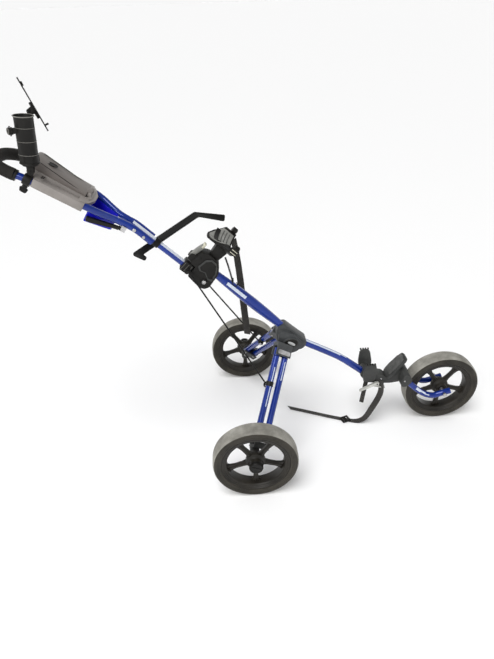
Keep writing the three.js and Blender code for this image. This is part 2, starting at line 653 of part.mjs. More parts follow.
// ---------------------------------------------------------------- handle
const lapAngle = THREE.MathUtils.degToRad(TUBE_SLOPE - HANDLE_SLOPE);
const lapEnd = [HANDLE_LAP * Math.cos(lapAngle), HANDLE_SIDE, -HANDLE_LAP * Math.sin(lapAngle)];
const handleSide = [
  lapEnd, [0, HANDLE_SIDE, 0], [-30, HANDLE_SIDE + 1, 0], [-60, 30, 0], [-90, 43, 2], [-132, 63, 6],
  [-185, 74, 7], [-245, 80, 5], [-305, HANDLE_HALF_WIDTH - 1, 3], [-350, HANDLE_HALF_WIDTH, 0],
  [-(HANDLE_BACK - HANDLE_CORNER), HANDLE_HALF_WIDTH, -4],
  [-(HANDLE_BACK - HANDLE_CORNER * 0.5), HANDLE_HALF_WIDTH - 8, -9],
  [-(HANDLE_BACK - HANDLE_CORNER * 0.13), HANDLE_HALF_WIDTH - HANDLE_CORNER * 0.5, -13],
  [-HANDLE_BACK, HANDLE_HALF_WIDTH - HANDLE_CORNER, -14],
];
const handlePath = new THREE.CatmullRomCurve3([
  ...mirrored(handleSide, -1), ...[...handleSide].reverse(),
].map(vector), false, 'centripetal');

function tubeAlong(curve, radius, steps, curveSegments = 5) {
  return new THREE.ExtrudeGeometry(ringShape(radius),
    { steps, bevelEnabled: false, extrudePath: curve, curveSegments });
}

function portionOf(curve, from, to, count) {
  const points = [];
  for (let index = 0; index <= count; index += 1) points.push(curve.getPointAt(from + (to - from) * (index / count)));
  return new THREE.CatmullRomCurve3(points, false, 'centripetal');
}

// Where along the handle's path, 0 to 1, a place down the handle is passed on the way up.
function passing(x) {
  for (let step = 0; step <= 400; step += 1) {
    if (handlePath.getPointAt(step / 800).x <= x) return step / 800;
  }
  return 0.5;
}

function handleTubeGeometry() {
  const ears = [-1, 1].map((turn) => slab([[LEVER.x + 8, -6], [LEVER.x + 8, LEVER.z - 7], [LEVER.x - 8, LEVER.z - 7],
    [LEVER.x - 8, -6]], LEVER.y + (turn > 0 ? LEVER_GAP : -LEVER_GAP - 3),
  LEVER.y + (turn > 0 ? LEVER_GAP + 3 : -LEVER_GAP), 3, 2));
  const pin = crossBar(LEVER.x, LEVER.z, LEVER_PIN, LEVER.y - LEVER_GAP - 4, LEVER.y + LEVER_GAP + 4, 12);
  const rivets = [-1, 1].map((turn) => crossBar(RIVET_SPACING * Math.cos(lapAngle),
    -RIVET_SPACING * Math.sin(lapAngle), 5, turn * HANDLE_SIDE, turn * (HANDLE_SIDE + HANDLE_RADIUS + 1.5), 12));
  return cutBy(joined(tubeAlong(handlePath, HANDLE_RADIUS, BEND_STEPS), ...ears, ...rivets, pin),
    crossBar(0, 0, RIVET_RADIUS + RUNNING_GAP, -60, 60, 12));
}

function gripGeometry() {
  const start = passing(-GRIP_FRONT);
  return cutBy(tubeAlong(portionOf(handlePath, start, 1 - start, 16), GRIP_RADIUS, 16),
    tubeAlong(handlePath, HANDLE_RADIUS + GAP, BEND_STEPS));
}

function foldPinGeometry() {
  const face = HANDLE_SIDE + HANDLE_RADIUS + GAP;
  return joined(crossBar(0, 0, RIVET_RADIUS, -face - 2, face + 2, 12),
    crossBar(0, 0, 6, -face - 3, -face, 14), crossBar(0, 0, 6, face, face + 3, 14));
}

piece(handleFrame, 'handle_tube', handleTubeGeometry(), 'blue');
piece(handleFrame, 'handle_grip', gripGeometry(), 'black');
piece(handleFrame, 'fold_pin', foldPinGeometry(), 'steel');

function releaseLeverGeometry() {
  const { x, y, z, length } = LEVER;
  const arm = slab([[x + 8, z - 6], [x + 8, z + 4], [x - 20, z + 3], [x - length, z - 6],
    [x - length, z - 20], [x - length + 14, z - 20], [x - 30, z - 8]], -LEVER_GAP + 0.5, LEVER_GAP - 0.5, 4, 3);
  const bore = crossBar(x, z, LEVER_PIN + RUNNING_GAP, -20, 20, 12);
  const turn = new THREE.Matrix4().makeTranslation(x, 0, 0)
    .multiply(new THREE.Matrix4().makeRotationZ(THREE.MathUtils.degToRad(LEVER.splay)))
    .multiply(new THREE.Matrix4().makeTranslation(-x, 0, 0));
  const far = box(x - length - 1, x - 16, -40, 40, z - 40, z + 20);
  const straight = cutBy(arm, far);
  const splayed = toGeometry(toSolid(arm).subtract(toSolid(box(x - 15.5, x + 40, -40, 40, z - 40, z + 20))));
  return cutBy(joined(straight, splayed.applyMatrix4(turn)), bore).translate(0, y, 0);
}

piece(handleFrame, 'release_lever', releaseLeverGeometry(), 'black');

// ---------------------------------------------------------------- console and pouch
const tubeBore = () => tubeAlong(handlePath, HANDLE_RADIUS + GAP, BEND_STEPS);

function consoleGeometry() {
  const { front, back, railBack, tip, half, floor, rim, railWidth } = CONSOLE;
  const tray = deck([[-front + 10, -half], [-front + 10, half], [-back, half], [-back, -half]], floor, rim, 12, 3);
  const frontBridge = deck([[-tip, -22], [-tip, 22], [-front + 6, 72], [-front - 20, 84], [-front - 24, 0],
    [-front - 20, -84], [-front + 6, -72]], 10, rim - 4, 10, 3);
  const rearBridge = deck([[-railBack + 22, -88], [-railBack + 22, 88], [-railBack, 88], [-railBack, -88]],
    floor, rim - 4, 6, 3);
  const rails = [-1, 1].map((turn) => deck([[-front, 60 * turn], [-front, 88 * turn],
    [-railBack, (HANDLE_HALF_WIDTH + railWidth) * turn], [-railBack, (HANDLE_HALF_WIDTH - railWidth) * turn]],
  -7, rim - 6, 5, 3));
  const well = deck([[-front, 6 - half], [-front, half - 6], [-back + 8, half - 6], [-back + 8, 6 - half]],
    floor + 4, rim + 30, 8, 3);
  const lugs = [-1, 1].map((turn) => slab([[-LID_HINGE.x - 6, rim - 6], [-LID_HINGE.x + 7, rim - 6],
    [-LID_HINGE.x + 5, LID_HINGE.z + 5], [-LID_HINGE.x - 5, LID_HINGE.z + 5]],
  turn > 0 ? 24 : -30, turn > 0 ? 30 : -24, 4, 2));
  const pin = crossBar(-LID_HINGE.x, LID_HINGE.z, 2.5, -30, 30, 12);
  return cutBy(joined(cutBy(joined(tray, frontBridge, rearBridge, ...rails), well), ...lugs, pin), tubeBore());
}

function lidGeometry() {
  const { back, half, rim } = CONSOLE;
  const { x, z } = LID_HINGE;
  const shell = slab([[-x - 8, rim + GAP], [-x - 8, z + 3], [-230, rim + 12], [-back + 16, rim + 27],
    [-back + 1, rim + 24], [-back + 1, rim + GAP]], -half + 2, half - 2, 7, 3);
  const knuckle = slab([[-x - 12, rim + GAP + 1], [-x + 4, z - 4], [-x + 4, z + 4], [-x - 12, z + 4]], -23, 23, 3, 2);
  const hollow = slab([[-x - 16, rim - 2], [-x - 20, rim + 3], [-230, rim + 8], [-back + 8, rim + 19],
    [-back + 6, rim - 2]], -half + 6, half - 6, 3, 2);
  return cutBy(joined(cutBy(shell, hollow), knuckle), crossBar(-x, z, 2.5 + RUNNING_GAP, -30, 30, 12));
}

piece(handleFrame, 'console_body', consoleGeometry(), 'taupe');
piece(handleFrame, 'console_lid', lidGeometry(), 'taupe');

function pouchGeometry() {
  const { front, back, depth, wall } = POUCH;
  const sideAt = (x) => handlePath.getPointAt(1 - passing(x)).y - HANDLE_RADIUS;
  const near = sideAt(-front) - 2;
  const far = sideAt(-back) - 2;
  const body = deck([[-front, -near], [-front, near], [-back, far], [-back, -far]], -depth, -1, 8, 3);
  const brim = deck([[-front, -near - 12], [-front, near + 12], [-back, far + 12], [-back, -far - 12]], -7, -1, 3, 2);
  const well = deck([[-front - wall, wall - near], [-front - wall, near - wall], [-back + wall, far - wall],
    [-back + wall, wall - far]], wall - depth, 20, 6, 3);
  return cutBy(joined(body, brim), well, tubeBore());
}

piece(handleFrame, 'accessory_pouch', pouchGeometry(), 'brightBlue');

// ---------------------------------------------------------------- umbrella holder
const clampHeight = handlePath.getPointAt(passing(-CLAMP_PLACE)).z;
const UMBRELLA_SIDE = -HANDLE_HALF_WIDTH;

function clampGeometry() {
  const ring = barBetween(vector([-CLAMP_PLACE - 11, UMBRELLA_SIDE, clampHeight]),
    vector([-CLAMP_PLACE + 11, UMBRELLA_SIDE, clampHeight]), HANDLE_RADIUS + 6, 24);
  const lug = slab([[-CLAMP_PLACE + 9, 10], [-CLAMP_PLACE - 9, 10], [-CLAMP_PLACE - 8, UMBRELLA_PIVOT + 8],
    [-CLAMP_PLACE + 8, UMBRELLA_PIVOT + 8]], UMBRELLA_SIDE - 4, UMBRELLA_SIDE + 4, 7, 3);
  const pin = crossBar(-CLAMP_PLACE, UMBRELLA_PIVOT, 3, UMBRELLA_SIDE - 10, UMBRELLA_SIDE + 10, 12);
  const foot = barBetween(vector([-CLAMP_PLACE, UMBRELLA_SIDE, -8]), vector([-CLAMP_PLACE, UMBRELLA_SIDE, -24]), 8, 16);
  const screwHole = barBetween(vector([-CLAMP_PLACE, UMBRELLA_SIDE, -12]), vector([-CLAMP_PLACE, UMBRELLA_SIDE, -40]),
    3 + GAP, 14);
  return cutBy(joined(ring, lug, pin, foot), tubeBore(), screwHole);
}

function wingScrewGeometry() {
  const stem = barBetween(vector([0, 0, -14]), vector([0, 0, -30]), 3, 14);
  const wings = slab([[-13, -26], [13, -26], [9, -40], [-9, -40]], -3, 3, 4, 3);
  const neck = barBetween(vector([0, 0, -24 - GAP]), vector([0, 0, -30]), 6, 16);
  return joined(stem, neck, wings).translate(-CLAMP_PLACE, UMBRELLA_SIDE, 0);
}

const umbrellaFrame = new THREE.Group();
umbrellaFrame.position.set(-CLAMP_PLACE, UMBRELLA_SIDE, UMBRELLA_PIVOT);
umbrellaFrame.rotation.y = -THREE.MathUtils.degToRad(UMBRELLA_LEAN);
handleFrame.add(umbrellaFrame);

function holderGeometry() {
  const foot = 16;
  const top = foot + UMBRELLA_LENGTH;
  const r = UMBRELLA_RADIUS;
  const shell = turned([[0, foot], [r - 8, foot], [r - 2, foot + 6], [r - 2, top - 3], [r, top - 2], [r, top],
    [r - UMBRELLA_WALL, top], [r - UMBRELLA_WALL, foot + 12], [r - 8, foot + 6], [0, foot + 6]], 24)
    .rotateX(Math.PI / 2);
  const cheeks = [-1, 1].map((turn) => slab([[-8, -8], [8, -8], [10, foot + 3], [-10, foot + 3]],
    turn > 0 ? 4.6 : -9, turn > 0 ? 9 : -4.6, 6, 3));
  const boss = barBetween(knobPoint(r - UMBRELLA_WALL - 0.5), knobPoint(r + 5), 8, 18);
  return cutBy(joined(shell, boss, ...cheeks), crossBar(0, 0, 3 + RUNNING_GAP, -20, 20, 12),
    barBetween(knobPoint(r - 12), knobPoint(r + 12), 3 + RUNNING_GAP, 14));
}

function knobPoint(reach) {
  const angle = THREE.MathUtils.degToRad(KNOB_ANGLE);
  return new THREE.Vector3(-reach * Math.cos(angle), -reach * Math.sin(angle), KNOB_HEIGHT);
}

function knobGeometry() {
  const face = UMBRELLA_RADIUS + 5 + RUNNING_GAP;
  return joined(barBetween(knobPoint(UMBRELLA_RADIUS - 8), knobPoint(face + 2), 3, 14),
    barBetween(knobPoint(face), knobPoint(face + 12), 10, 10));
}

piece(handleFrame, 'umbrella_clamp', clampGeometry(), 'black');
piece(handleFrame, 'wing_screw', wingScrewGeometry(), 'black');
piece(umbrellaFrame, 'umbrella_holder', holderGeometry(), 'black');
piece(umbrellaFrame, 'umbrella_knob', knobGeometry(), 'black');

// ---------------------------------------------------------------- scorecard plate
const scoreFrame = new THREE.Group();
scoreFrame.position.set(...SCORE.pivot);
scoreFrame.rotation.set(THREE.MathUtils.degToRad(SCORE.twist), THREE.MathUtils.degToRad(SCORE.lean), 0, 'YXZ');
handleFrame.add(scoreFrame);

function stemGeometry() {
  const pivot = vector(SCORE.pivot);
  const foot = new THREE.Vector3(-CONSOLE.back - 7, 0, CONSOLE.floor + 6);
  scoreFrame.updateMatrix();
  const knuckle = joined(crossBar(0, 0, 6, -6, 6, 16), crossBar(0, 0, 2.5, -13, 13, 12)).applyMatrix4(scoreFrame.matrix);
  const shoe = box(-CONSOLE.back - 14, -CONSOLE.back - GAP, -9, 9, CONSOLE.floor, CONSOLE.floor + 14);
  return joined(shoe, barBetween(foot, pivot, 3.5, 12), knuckle);
}

function plateGeometry() {
  const { low, high, half, offset, thickness } = SCORE;
  const plate = deck([[-high, -half + 4], [-high, half - 4], [low, half], [low, -half]],
    offset, offset + thickness, 8, 3);
  const cheeks = [-1, 1].map((turn) => slab([[-7, -6], [7, -6], [12, offset + 1], [-12, offset + 1]],
    turn > 0 ? 6.8 : -10.5, turn > 0 ? 10.5 : -6.8, 5, 3));
  return cutBy(joined(plate, ...cheeks), crossBar(0, 0, 2.5 + RUNNING_GAP, -20, 20, 12));
}

piece(handleFrame, 'scorecard_stem', stemGeometry(), 'black');
piece(scoreFrame, 'scorecard_plate', plateGeometry(), 'black');

// ---------------------------------------------------------------- lower bracket and fork
const forkPath = (side) => FORK_PATH.map(([x, z]) => [x, side * FORK_HALF_WIDTH, z]);

function lowerBracketGeometry() {
  const spine = slab([[436, 234], [450, 266], [480, 248], [520, 230], [560, 228], [596, 254], [624, 250],
    [634, 222], [612, 198], [560, 190], [500, 194], [462, 206]], -LOWER_HALF, LOWER_HALF, 8, 3);
  const crown = slab([[588, 208], [598, 252], [620, 252], [634, 224], [616, 199], [596, 198]],
    -FORK_HALF_WIDTH - 14, FORK_HALF_WIDTH + 14, 8, 3);
  const arms = Object.values(SIDES).map((side) => bentTube(forkPath(side), FORK_RADIUS + GAP, 14));
  const latchPin = crossBar(LOWER_LATCH.x, LOWER_LATCH.z, 3, -LOWER_HALF - 22, 0, 12);
  return cutBy(joined(spine, crown, latchPin), ...arms, bentTube(frontPath, FRONT_TUBE_RADIUS + GAP, 12),
    stopPlate(GAP, STOP.clear));
}

// The plate itself, or with rise the room that its face keeps clear for a bag's base.
function stopPlate(extra = 0, rise = 0) {
  const { width, length, thickness, foot, lean } = STOP;
  const half = width / 2 + extra;
  const depth = thickness + 2 * extra;
  const plate = deck([[-extra, -half + 6], [-extra, half - 6], [length * 0.4, half], [length, half - 8],
    [length, 8 - half], [length * 0.4, -half]], -depth / 2, depth / 2 + rise, 14, 4);
  return plate.rotateY(-THREE.MathUtils.degToRad(lean)).translate(foot[0], 0, foot[1]);
}

function wingGeometry(side) {
  const { outline, lean, thickness, base } = LOWER_WING;
  const plate = slab(outline, 0, thickness, 10, 3);
  plate.translate(0, 0, -base).rotateX(-THREE.MathUtils.degToRad(lean)).translate(0, LOWER_HALF + 5, base);
  const root = slab([[450, base - 8], [450, base + 14], [490, base + 6], [490, base - 12]],
    LOWER_HALF + GAP, LOWER_HALF + 9, 4, 2);
  const wing = joined(plate, root);
  return side > 0 ? wing : flipped(wing);
}

// The same piece for the other side, turned over in Y.
function flipped(geometry) {
  const flippedGeometry = geometry.clone().scale(1, -1, 1);
  const index = flippedGeometry.index.array;
  for (let at = 0; at < index.length; at += 3) [index[at], index[at + 1]] = [index[at + 1], index[at]];
  flippedGeometry.computeVertexNormals();
  return flippedGeometry;
}

function lowerLatchGeometry() {
  const { x, z, length, drop } = LOWER_LATCH;
  const from = -LOWER_HALF - 21;
  const to = -LOWER_HALF - GAP - 10;
  const lever = slab([[x + 7, z - 7], [x + 7, z + 7], [x - 6, z + 7], [x - length, z - drop + 4],
    [x - length - 2, z - drop - 4], [x - 8, z - 7]], from, to, 3, 3);
  return cutBy(lever, crossBar(x, z, 3 + RUNNING_GAP, from - 5, to + 5, 12));
}

function frontAxleGeometry() {
  const inside = FORK_HALF_WIDTH - FORK_RADIUS - 1;
  const outside = FORK_HALF_WIDTH + FORK_RADIUS + GAP;
  return joined(crossBar(WHEELBASE, WHEEL_RADIUS, AXLE_RADIUS, -inside, inside),
    crossBar(WHEELBASE, WHEEL_RADIUS, 4.5, -outside - 4, outside + 4, 14),
    crossBar(WHEELBASE, WHEEL_RADIUS, 8, -outside - 6, -outside, 6),
    crossBar(WHEELBASE, WHEEL_RADIUS, 8, outside, outside + 6, 6));
}

piece(cart, 'lower_bracket', lowerBracketGeometry(), 'darkGrey');
piece(cart, 'stop_plate', stopPlate(), 'black');
piece(cart, 'lower_latch', lowerLatchGeometry(), 'steel');
piece(cart, 'front_axle', frontAxleGeometry(), 'steel');
for (const [name, side] of Object.entries(SIDES)) {
  piece(cart, `lower_wing_${name}`, wingGeometry(side), 'black');
  const arm = bentTube(forkPath(side), FORK_RADIUS, 14);
  const hole = crossBar(WHEELBASE, WHEEL_RADIUS, 4.5 + GAP, side * 20, side * 70, 14);
  piece(cart, `fork_arm_${name}`, cutBy(arm, hole), 'blue');
}

// ---------------------------------------------------------------- straps
const STRAPS = {
  lower_strap: [[519, -33, 212], [519, -42, 161], [492, -41, 80], [466, -34, 18], [440, -28, 4.5],
    [395, -15, 4.5], [337, 8, 4.5], [255, 44, 4.5], [172, 80, 4.5]],
  lower_strap_tail: [[463, -18, 199], [458, -20, 150], [453, -20, 97]],
  upper_strap: [[-34, 72, 792], [-22, 60, 700], [-10, 50, 560], [2, 45, 415]],
  upper_bungee: [[-66, -62, 785], [-56, -60, 745], [-46, -54, 694]],
};

for (const [name, points] of Object.entries(STRAPS)) {
  piece(cart, name, bentTube(points, STRAP_RADIUS, points.length * 2, { curveSegments: 4 }), 'webbing');
}

function buckleGeometry() {
  const frame = box(-17, 17, -15, 15, 0.4, 9);
  return cutBy(frame.rotateZ(0.35).translate(395, -15, 0), bentTube(STRAPS.lower_strap, STRAP_RADIUS + GAP,
    STRAPS.lower_strap.length * 2, { curveSegments: 4 }));
}

piece(cart, 'strap_buckle', buckleGeometry(), 'black');

cart.updateMatrixWorld(true);
const bounds = new THREE.Box3().setFromObject(cart, true);
cart.position.x = -(bounds.min.x + bounds.max.x) / 2;
cart.position.z = -bounds.min.z;

export default cart;
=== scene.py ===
import json
import math

import bpy
from mathutils import Matrix, Vector


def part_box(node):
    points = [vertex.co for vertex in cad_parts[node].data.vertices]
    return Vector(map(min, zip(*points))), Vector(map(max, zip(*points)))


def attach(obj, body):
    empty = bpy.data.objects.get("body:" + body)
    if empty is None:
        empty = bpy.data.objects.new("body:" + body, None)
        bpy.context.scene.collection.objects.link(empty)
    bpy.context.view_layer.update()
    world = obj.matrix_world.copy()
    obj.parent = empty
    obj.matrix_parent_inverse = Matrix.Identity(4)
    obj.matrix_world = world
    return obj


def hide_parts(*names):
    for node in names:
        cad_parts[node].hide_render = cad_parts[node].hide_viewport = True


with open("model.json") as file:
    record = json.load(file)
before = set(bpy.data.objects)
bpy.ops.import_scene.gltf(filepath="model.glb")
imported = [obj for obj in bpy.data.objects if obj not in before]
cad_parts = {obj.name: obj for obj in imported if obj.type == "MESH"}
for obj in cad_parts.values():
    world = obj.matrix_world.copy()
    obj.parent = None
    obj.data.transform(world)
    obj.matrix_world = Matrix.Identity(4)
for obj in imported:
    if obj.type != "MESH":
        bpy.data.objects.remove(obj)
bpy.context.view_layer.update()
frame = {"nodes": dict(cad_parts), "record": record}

scene = bpy.context.scene
record = frame["record"]
BODY_OF = {node: body for body, nodes in record["behaviour"]["bodies"].items() for node in nodes}

# ---------------------------------------------------------------- places
# Lengths are metres. Places are counted from the floor under the rear axle's middle.
low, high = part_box("rear_axle_left")
AXLE_X = (low.x + high.x) / 2
WHEEL_RADIUS = 0.1485
WHEELBASE = 0.772
TRACK = 0.690
TUBE_RADIUS = 0.013
HANDLE_RADIUS = 0.011
LEG_RADIUS = 0.0115
LEG_SPACING = 0.038
LEG_PIVOT = (0.1364, 0.060, 0.3837)
LEG_WAY = (-0.30, 0.657, -0.69)
SIDES = (("left", 1), ("right", -1))


def at(x, y, z):
    return Vector((x + AXLE_X, y, z))


def turn(degrees, axis):
    return Matrix.Rotation(math.radians(degrees), 4, axis)


def shift(x, y, z):
    return Matrix.Translation((x, y, z))


INNER_DROP = -0.041
TUBE_FRAME = Matrix.Translation(at(0.131, 0, 0.470)) @ turn(44.3, "Y")
HANDLE_FRAME = TUBE_FRAME @ shift(-0.633, 0, INNER_DROP) @ turn(-10.1, "Y")
UMBRELLA_FRAME = HANDLE_FRAME @ shift(-0.332, -0.085, 0.031) @ turn(-28.5, "Y")
SCORE_FRAME = HANDLE_FRAME @ shift(-0.409, 0, 0.153) @ turn(35.7, "Y") @ turn(-19.6, "X")
CART_FRAME = Matrix.Translation(at(0, 0, 0))

# ---------------------------------------------------------------- shader groups


def add_socket(group, name, way, kind="NodeSocketFloat"):
    group.interface.new_socket(name=name, in_out=way, socket_type=kind)


def handling_marks():
    """A soft patchy mask, as use and handling leave it."""
    group = bpy.data.node_groups.new("handling_marks", "ShaderNodeTree")
    add_socket(group, "Scale", "INPUT")
    add_socket(group, "Spread", "INPUT")
    add_socket(group, "Mask", "OUTPUT")
    nodes, links = group.nodes, group.links
    entry = nodes.new("NodeGroupInput")
    leave = nodes.new("NodeGroupOutput")
    place = nodes.new("ShaderNodeTexCoord")
    noise = nodes.new("ShaderNodeTexNoise")
    noise.inputs["Detail"].default_value = 5
    noise.inputs["Roughness"].default_value = 0.62
    reach = nodes.new("ShaderNodeMapRange")
    reach.inputs["From Min"].default_value = 0.38
    reach.inputs["From Max"].default_value = 0.66
    grow = nodes.new("ShaderNodeMath")
    grow.operation = "MULTIPLY"
    links.new(place.outputs["Object"], noise.inputs["Vector"])
    links.new(entry.outputs["Scale"], noise.inputs["Scale"])
    links.new(noise.outputs["Fac"], reach.inputs["Value"])
    links.new(reach.outputs["Result"], grow.inputs[0])
    links.new(entry.outputs["Spread"], grow.inputs[1])
    links.new(grow.outputs["Value"], leave.inputs["Mask"])
    return group


def moulded_grain():
    """Fine height for moulded, foamed and coated faces."""
    group = bpy.data.node_groups.new("moulded_grain", "ShaderNodeTree")
    add_socket(group, "Scale", "INPUT")
    add_socket(group, "Coarse", "INPUT")
    add_socket(group, "Height", "OUTPUT")
    nodes, links = group.nodes, group.links
    entry = nodes.new("NodeGroupInput")
    leave = nodes.new("NodeGroupOutput")
    place = nodes.new("ShaderNodeTexCoord")
    fine = nodes.new("ShaderNodeTexNoise")
    fine.inputs["Detail"].default_value = 2
    cells = nodes.new("ShaderNodeTexVoronoi")
    mix = nodes.new("ShaderNodeMix")
    links.new(place.outputs["Object"], fine.inputs["Vector"])
    links.new(place.outputs["Object"], cells.inputs["Vector"])
    links.new(entry.outputs["Scale"], fine.inputs["Scale"])
    links.new(entry.outputs["Scale"], cells.inputs["Scale"])
    links.new(entry.outputs["Coarse"], mix.inputs[0])
    links.new(fine.outputs["Fac"], mix.inputs[2])
    links.new(cells.outputs["Distance"], mix.inputs[3])
    links.new(mix.outputs[0], leave.inputs["Height"])
    return group


def webbing_weave():
    """Herringbone-like rows across a strap, from its own UV map."""
    group = bpy.data.node_groups.new("webbing_weave", "ShaderNodeTree")
    add_socket(group, "Rows", "INPUT")
    add_socket(group, "Columns", "INPUT")
    add_socket(group, "Height", "OUTPUT")
    nodes, links = group.nodes, group.links
    entry = nodes.new("NodeGroupInput")
    leave = nodes.new("NodeGroupOutput")
    place = nodes.new("ShaderNodeTexCoord")
    split = nodes.new("ShaderNodeSeparateXYZ")
    links.new(place.outputs["UV"], split.inputs["Vector"])
    waves = []
    for source, count in (("X", "Rows"), ("Y", "Columns")):
        grow = nodes.new("ShaderNodeMath")
        grow.operation = "MULTIPLY"
        wave = nodes.new("ShaderNodeMath")
        wave.operation = "SINE"
        links.new(split.outputs[source], grow.inputs[0])
        links.new(entry.outputs[count], grow.inputs[1])
        links.new(grow.outputs["Value"], wave.inputs[0])
        waves.append(wave)
    weave = nodes.new("ShaderNodeMath")
    weave.operation = "MULTIPLY"
    links.new(waves[0].outputs["Value"], weave.inputs[0])
    links.new(waves[1].outputs["Value"], weave.inputs[1])
    links.new(weave.outputs["Value"], leave.inputs["Height"])
    return group


MARKS = handling_marks()
GRAIN = moulded_grain()
WEAVE = webbing_weave()

# ---------------------------------------------------------------- materials


def finish_of(name, base, worn, rough, metal=0.0, coat=0.0, marks=(14.0, 0.5), grain=None, sheen=0.0, shine=0.3):
    """A Principled material whose colour and roughness drift between base and worn."""
    material = bpy.data.materials.new(name)
    material.use_nodes = True
    nodes, links = material.node_tree.nodes, material.node_tree.links
    shader = nodes["Principled BSDF"]
    shader.inputs["Metallic"].default_value = metal
    shader.inputs["Coat Weight"].default_value = coat
    shader.inputs["Coat Roughness"].default_value = 0.08
    shader.inputs["Sheen Weight"].default_value = sheen
    shader.inputs["Specular IOR Level"].default_value = shine
    patches = nodes.new("ShaderNodeGroup")
    patches.node_tree = MARKS
    patches.inputs["Scale"].default_value = marks[0]
    patches.inputs["Spread"].default_value = marks[1]
    tint = nodes.new("ShaderNodeMix")
    tint.data_type = "RGBA"
    tint.inputs["A"].default_value = (*base, 1)
    tint.inputs["B"].default_value = (*worn, 1)
    links.new(patches.outputs["Mask"], tint.inputs["Factor"])
    links.new(tint.outputs["Result"], shader.inputs["Base Color"])
    gloss = nodes.new("ShaderNodeMapRange")
    gloss.inputs["To Min"].default_value = rough[0]
    gloss.inputs["To Max"].default_value = rough[1]
    links.new(patches.outputs["Mask"], gloss.inputs["Value"])
    links.new(gloss.outputs["Result"], shader.inputs["Roughness"])
    if grain:
        scale, coarse, strength, distance = grain
        height = nodes.new("ShaderNodeGroup")
        height.node_tree = GRAIN
        height.inputs["Scale"].default_value = scale
        height.inputs["Coarse"].default_value = coarse
        bump = nodes.new("ShaderNodeBump")
        bump.inputs["Strength"].default_value = strength
        bump.inputs["Distance"].default_value = distance
        links.new(height.outputs["Height"], bump.inputs["Height"])
        links.new(bump.outputs["Normal"], shader.inputs["Normal"])
    return material


def woven(name, base, worn, rows, columns):
    material = finish_of(name, base, worn, (0.82, 0.95), marks=(60.0, 0.6), sheen=0.25)
    nodes, links = material.node_tree.nodes, material.node_tree.links
    weave = nodes.new("ShaderNodeGroup")
    weave.node_tree = WEAVE
    weave.inputs["Rows"].default_value = rows
    weave.inputs["Columns"].default_value = columns
    bump = nodes.new("ShaderNodeBump")
    bump.inputs["Strength"].default_value = 0.6
    bump.inputs["Distance"].default_value = 0.0006
    links.new(weave.outputs["Height"], bump.inputs["Height"])
    links.new(bump.outputs["Normal"], nodes["Principled BSDF"].inputs["Normal"])
    return material


PAINT = finish_of("blue_frame_paint", (0.001, 0.02, 0.2), (0.002, 0.03, 0.27), (0.14, 0.24), 0.2, 0.4,
                  (9.0, 0.8), (2200, 0.0, 0.04, 0.0002), shine=0.4)
# printed bands on the tubes, and also the pale painted highlight along the front tube's top
PRINT_AND_HIGHLIGHT = finish_of("stripe_print_and_highlight", (0.62, 0.68, 0.78), (0.5, 0.56, 0.7), (0.25, 0.4), 0.1, 0.4)
# painted highlight: a pale colour for the upward faces of the inner tube, where the overhead light falls
PAINTED_TOP_HIGHLIGHT = finish_of("painted_highlight_tube_top", (0.78, 0.82, 0.9), (0.62, 0.67, 0.78), (0.2, 0.35), 0.4, 0.4, (20.0, 0.6))
STEEL = finish_of("plated_steel", (0.55, 0.55, 0.56), (0.36, 0.35, 0.34), (0.22, 0.45), 1.0, marks=(50.0, 0.9))
SILVER = finish_of("silver_lever", (0.62, 0.62, 0.58), (0.42, 0.42, 0.39), (0.28, 0.45), 0.4, 0.2, (30.0, 0.8))
BLACK = finish_of("black_moulding", (0.006, 0.0056, 0.005), (0.016, 0.015, 0.013), (0.4, 0.58),
                  marks=(18.0, 0.6), grain=(900, 0.4, 0.12, 0.0004), shine=0.22)
BLACK_METAL = finish_of("black_coated_metal", (0.004, 0.004, 0.0036), (0.009, 0.009, 0.008), (0.42, 0.58), shine=0.18)
HUB_GREY = finish_of("hub_grey", (0.045, 0.048, 0.05), (0.075, 0.078, 0.078), (0.4, 0.55),
                     marks=(20.0, 0.7), grain=(800, 0.5, 0.15, 0.0004))
BRACKET_GREY = finish_of("bracket_grey", (0.03, 0.031, 0.03), (0.06, 0.061, 0.058), (0.42, 0.6),
                         marks=(24.0, 0.7), grain=(750, 0.5, 0.18, 0.0004))
PAD = finish_of("saddle_rubber", (0.2, 0.2, 0.185), (0.32, 0.32, 0.3), (0.55, 0.75), marks=(28.0, 0.8),
                grain=(600, 0.7, 0.25, 0.0005))
STIPPLE = finish_of("stippled_rubber", (0.055, 0.056, 0.054), (0.12, 0.12, 0.115), (0.6, 0.8), marks=(60.0, 0.8),
                    grain=(330, 1.0, 0.8, 0.0012))
TAUPE = finish_of("console_taupe", (0.16, 0.142, 0.13), (0.21, 0.19, 0.175), (0.4, 0.55), marks=(12.0, 0.6),
                  grain=(1100, 0.4, 0.1, 0.0003))
TAUPE_LIGHT = finish_of("console_lip", (0.24, 0.22, 0.205), (0.33, 0.305, 0.285), (0.35, 0.5), marks=(12.0, 0.6),
                        grain=(1100, 0.4, 0.08, 0.0003))
POUCH = finish_of("pouch_blue", (0.004, 0.004, 0.4), (0.008, 0.008, 0.52), (0.3, 0.42), coat=0.2, marks=(10.0, 0.7))
CREAM = finish_of("cream_tip", (0.62, 0.6, 0.48), (0.5, 0.48, 0.38), (0.3, 0.45), coat=0.3, marks=(40.0, 0.6))
RIM = finish_of("rim_moulding", (0.011, 0.0095, 0.0072), (0.03, 0.026, 0.02), (0.34, 0.52), marks=(16.0, 0.8),
                grain=(700, 0.4, 0.1, 0.0004))
SIDEWALL = finish_of("tyre_side", (0.018, 0.0158, 0.0112), (0.05, 0.044, 0.034), (0.42, 0.65), marks=(13.0, 0.9),
                     grain=(600, 0.5, 0.2, 0.0004))
TREAD = finish_of("worn_tread", (0.17, 0.163, 0.142), (0.34, 0.33, 0.295), (0.6, 0.78), marks=(14.0, 1.0),
                  grain=(420, 0.6, 0.35, 0.0008))
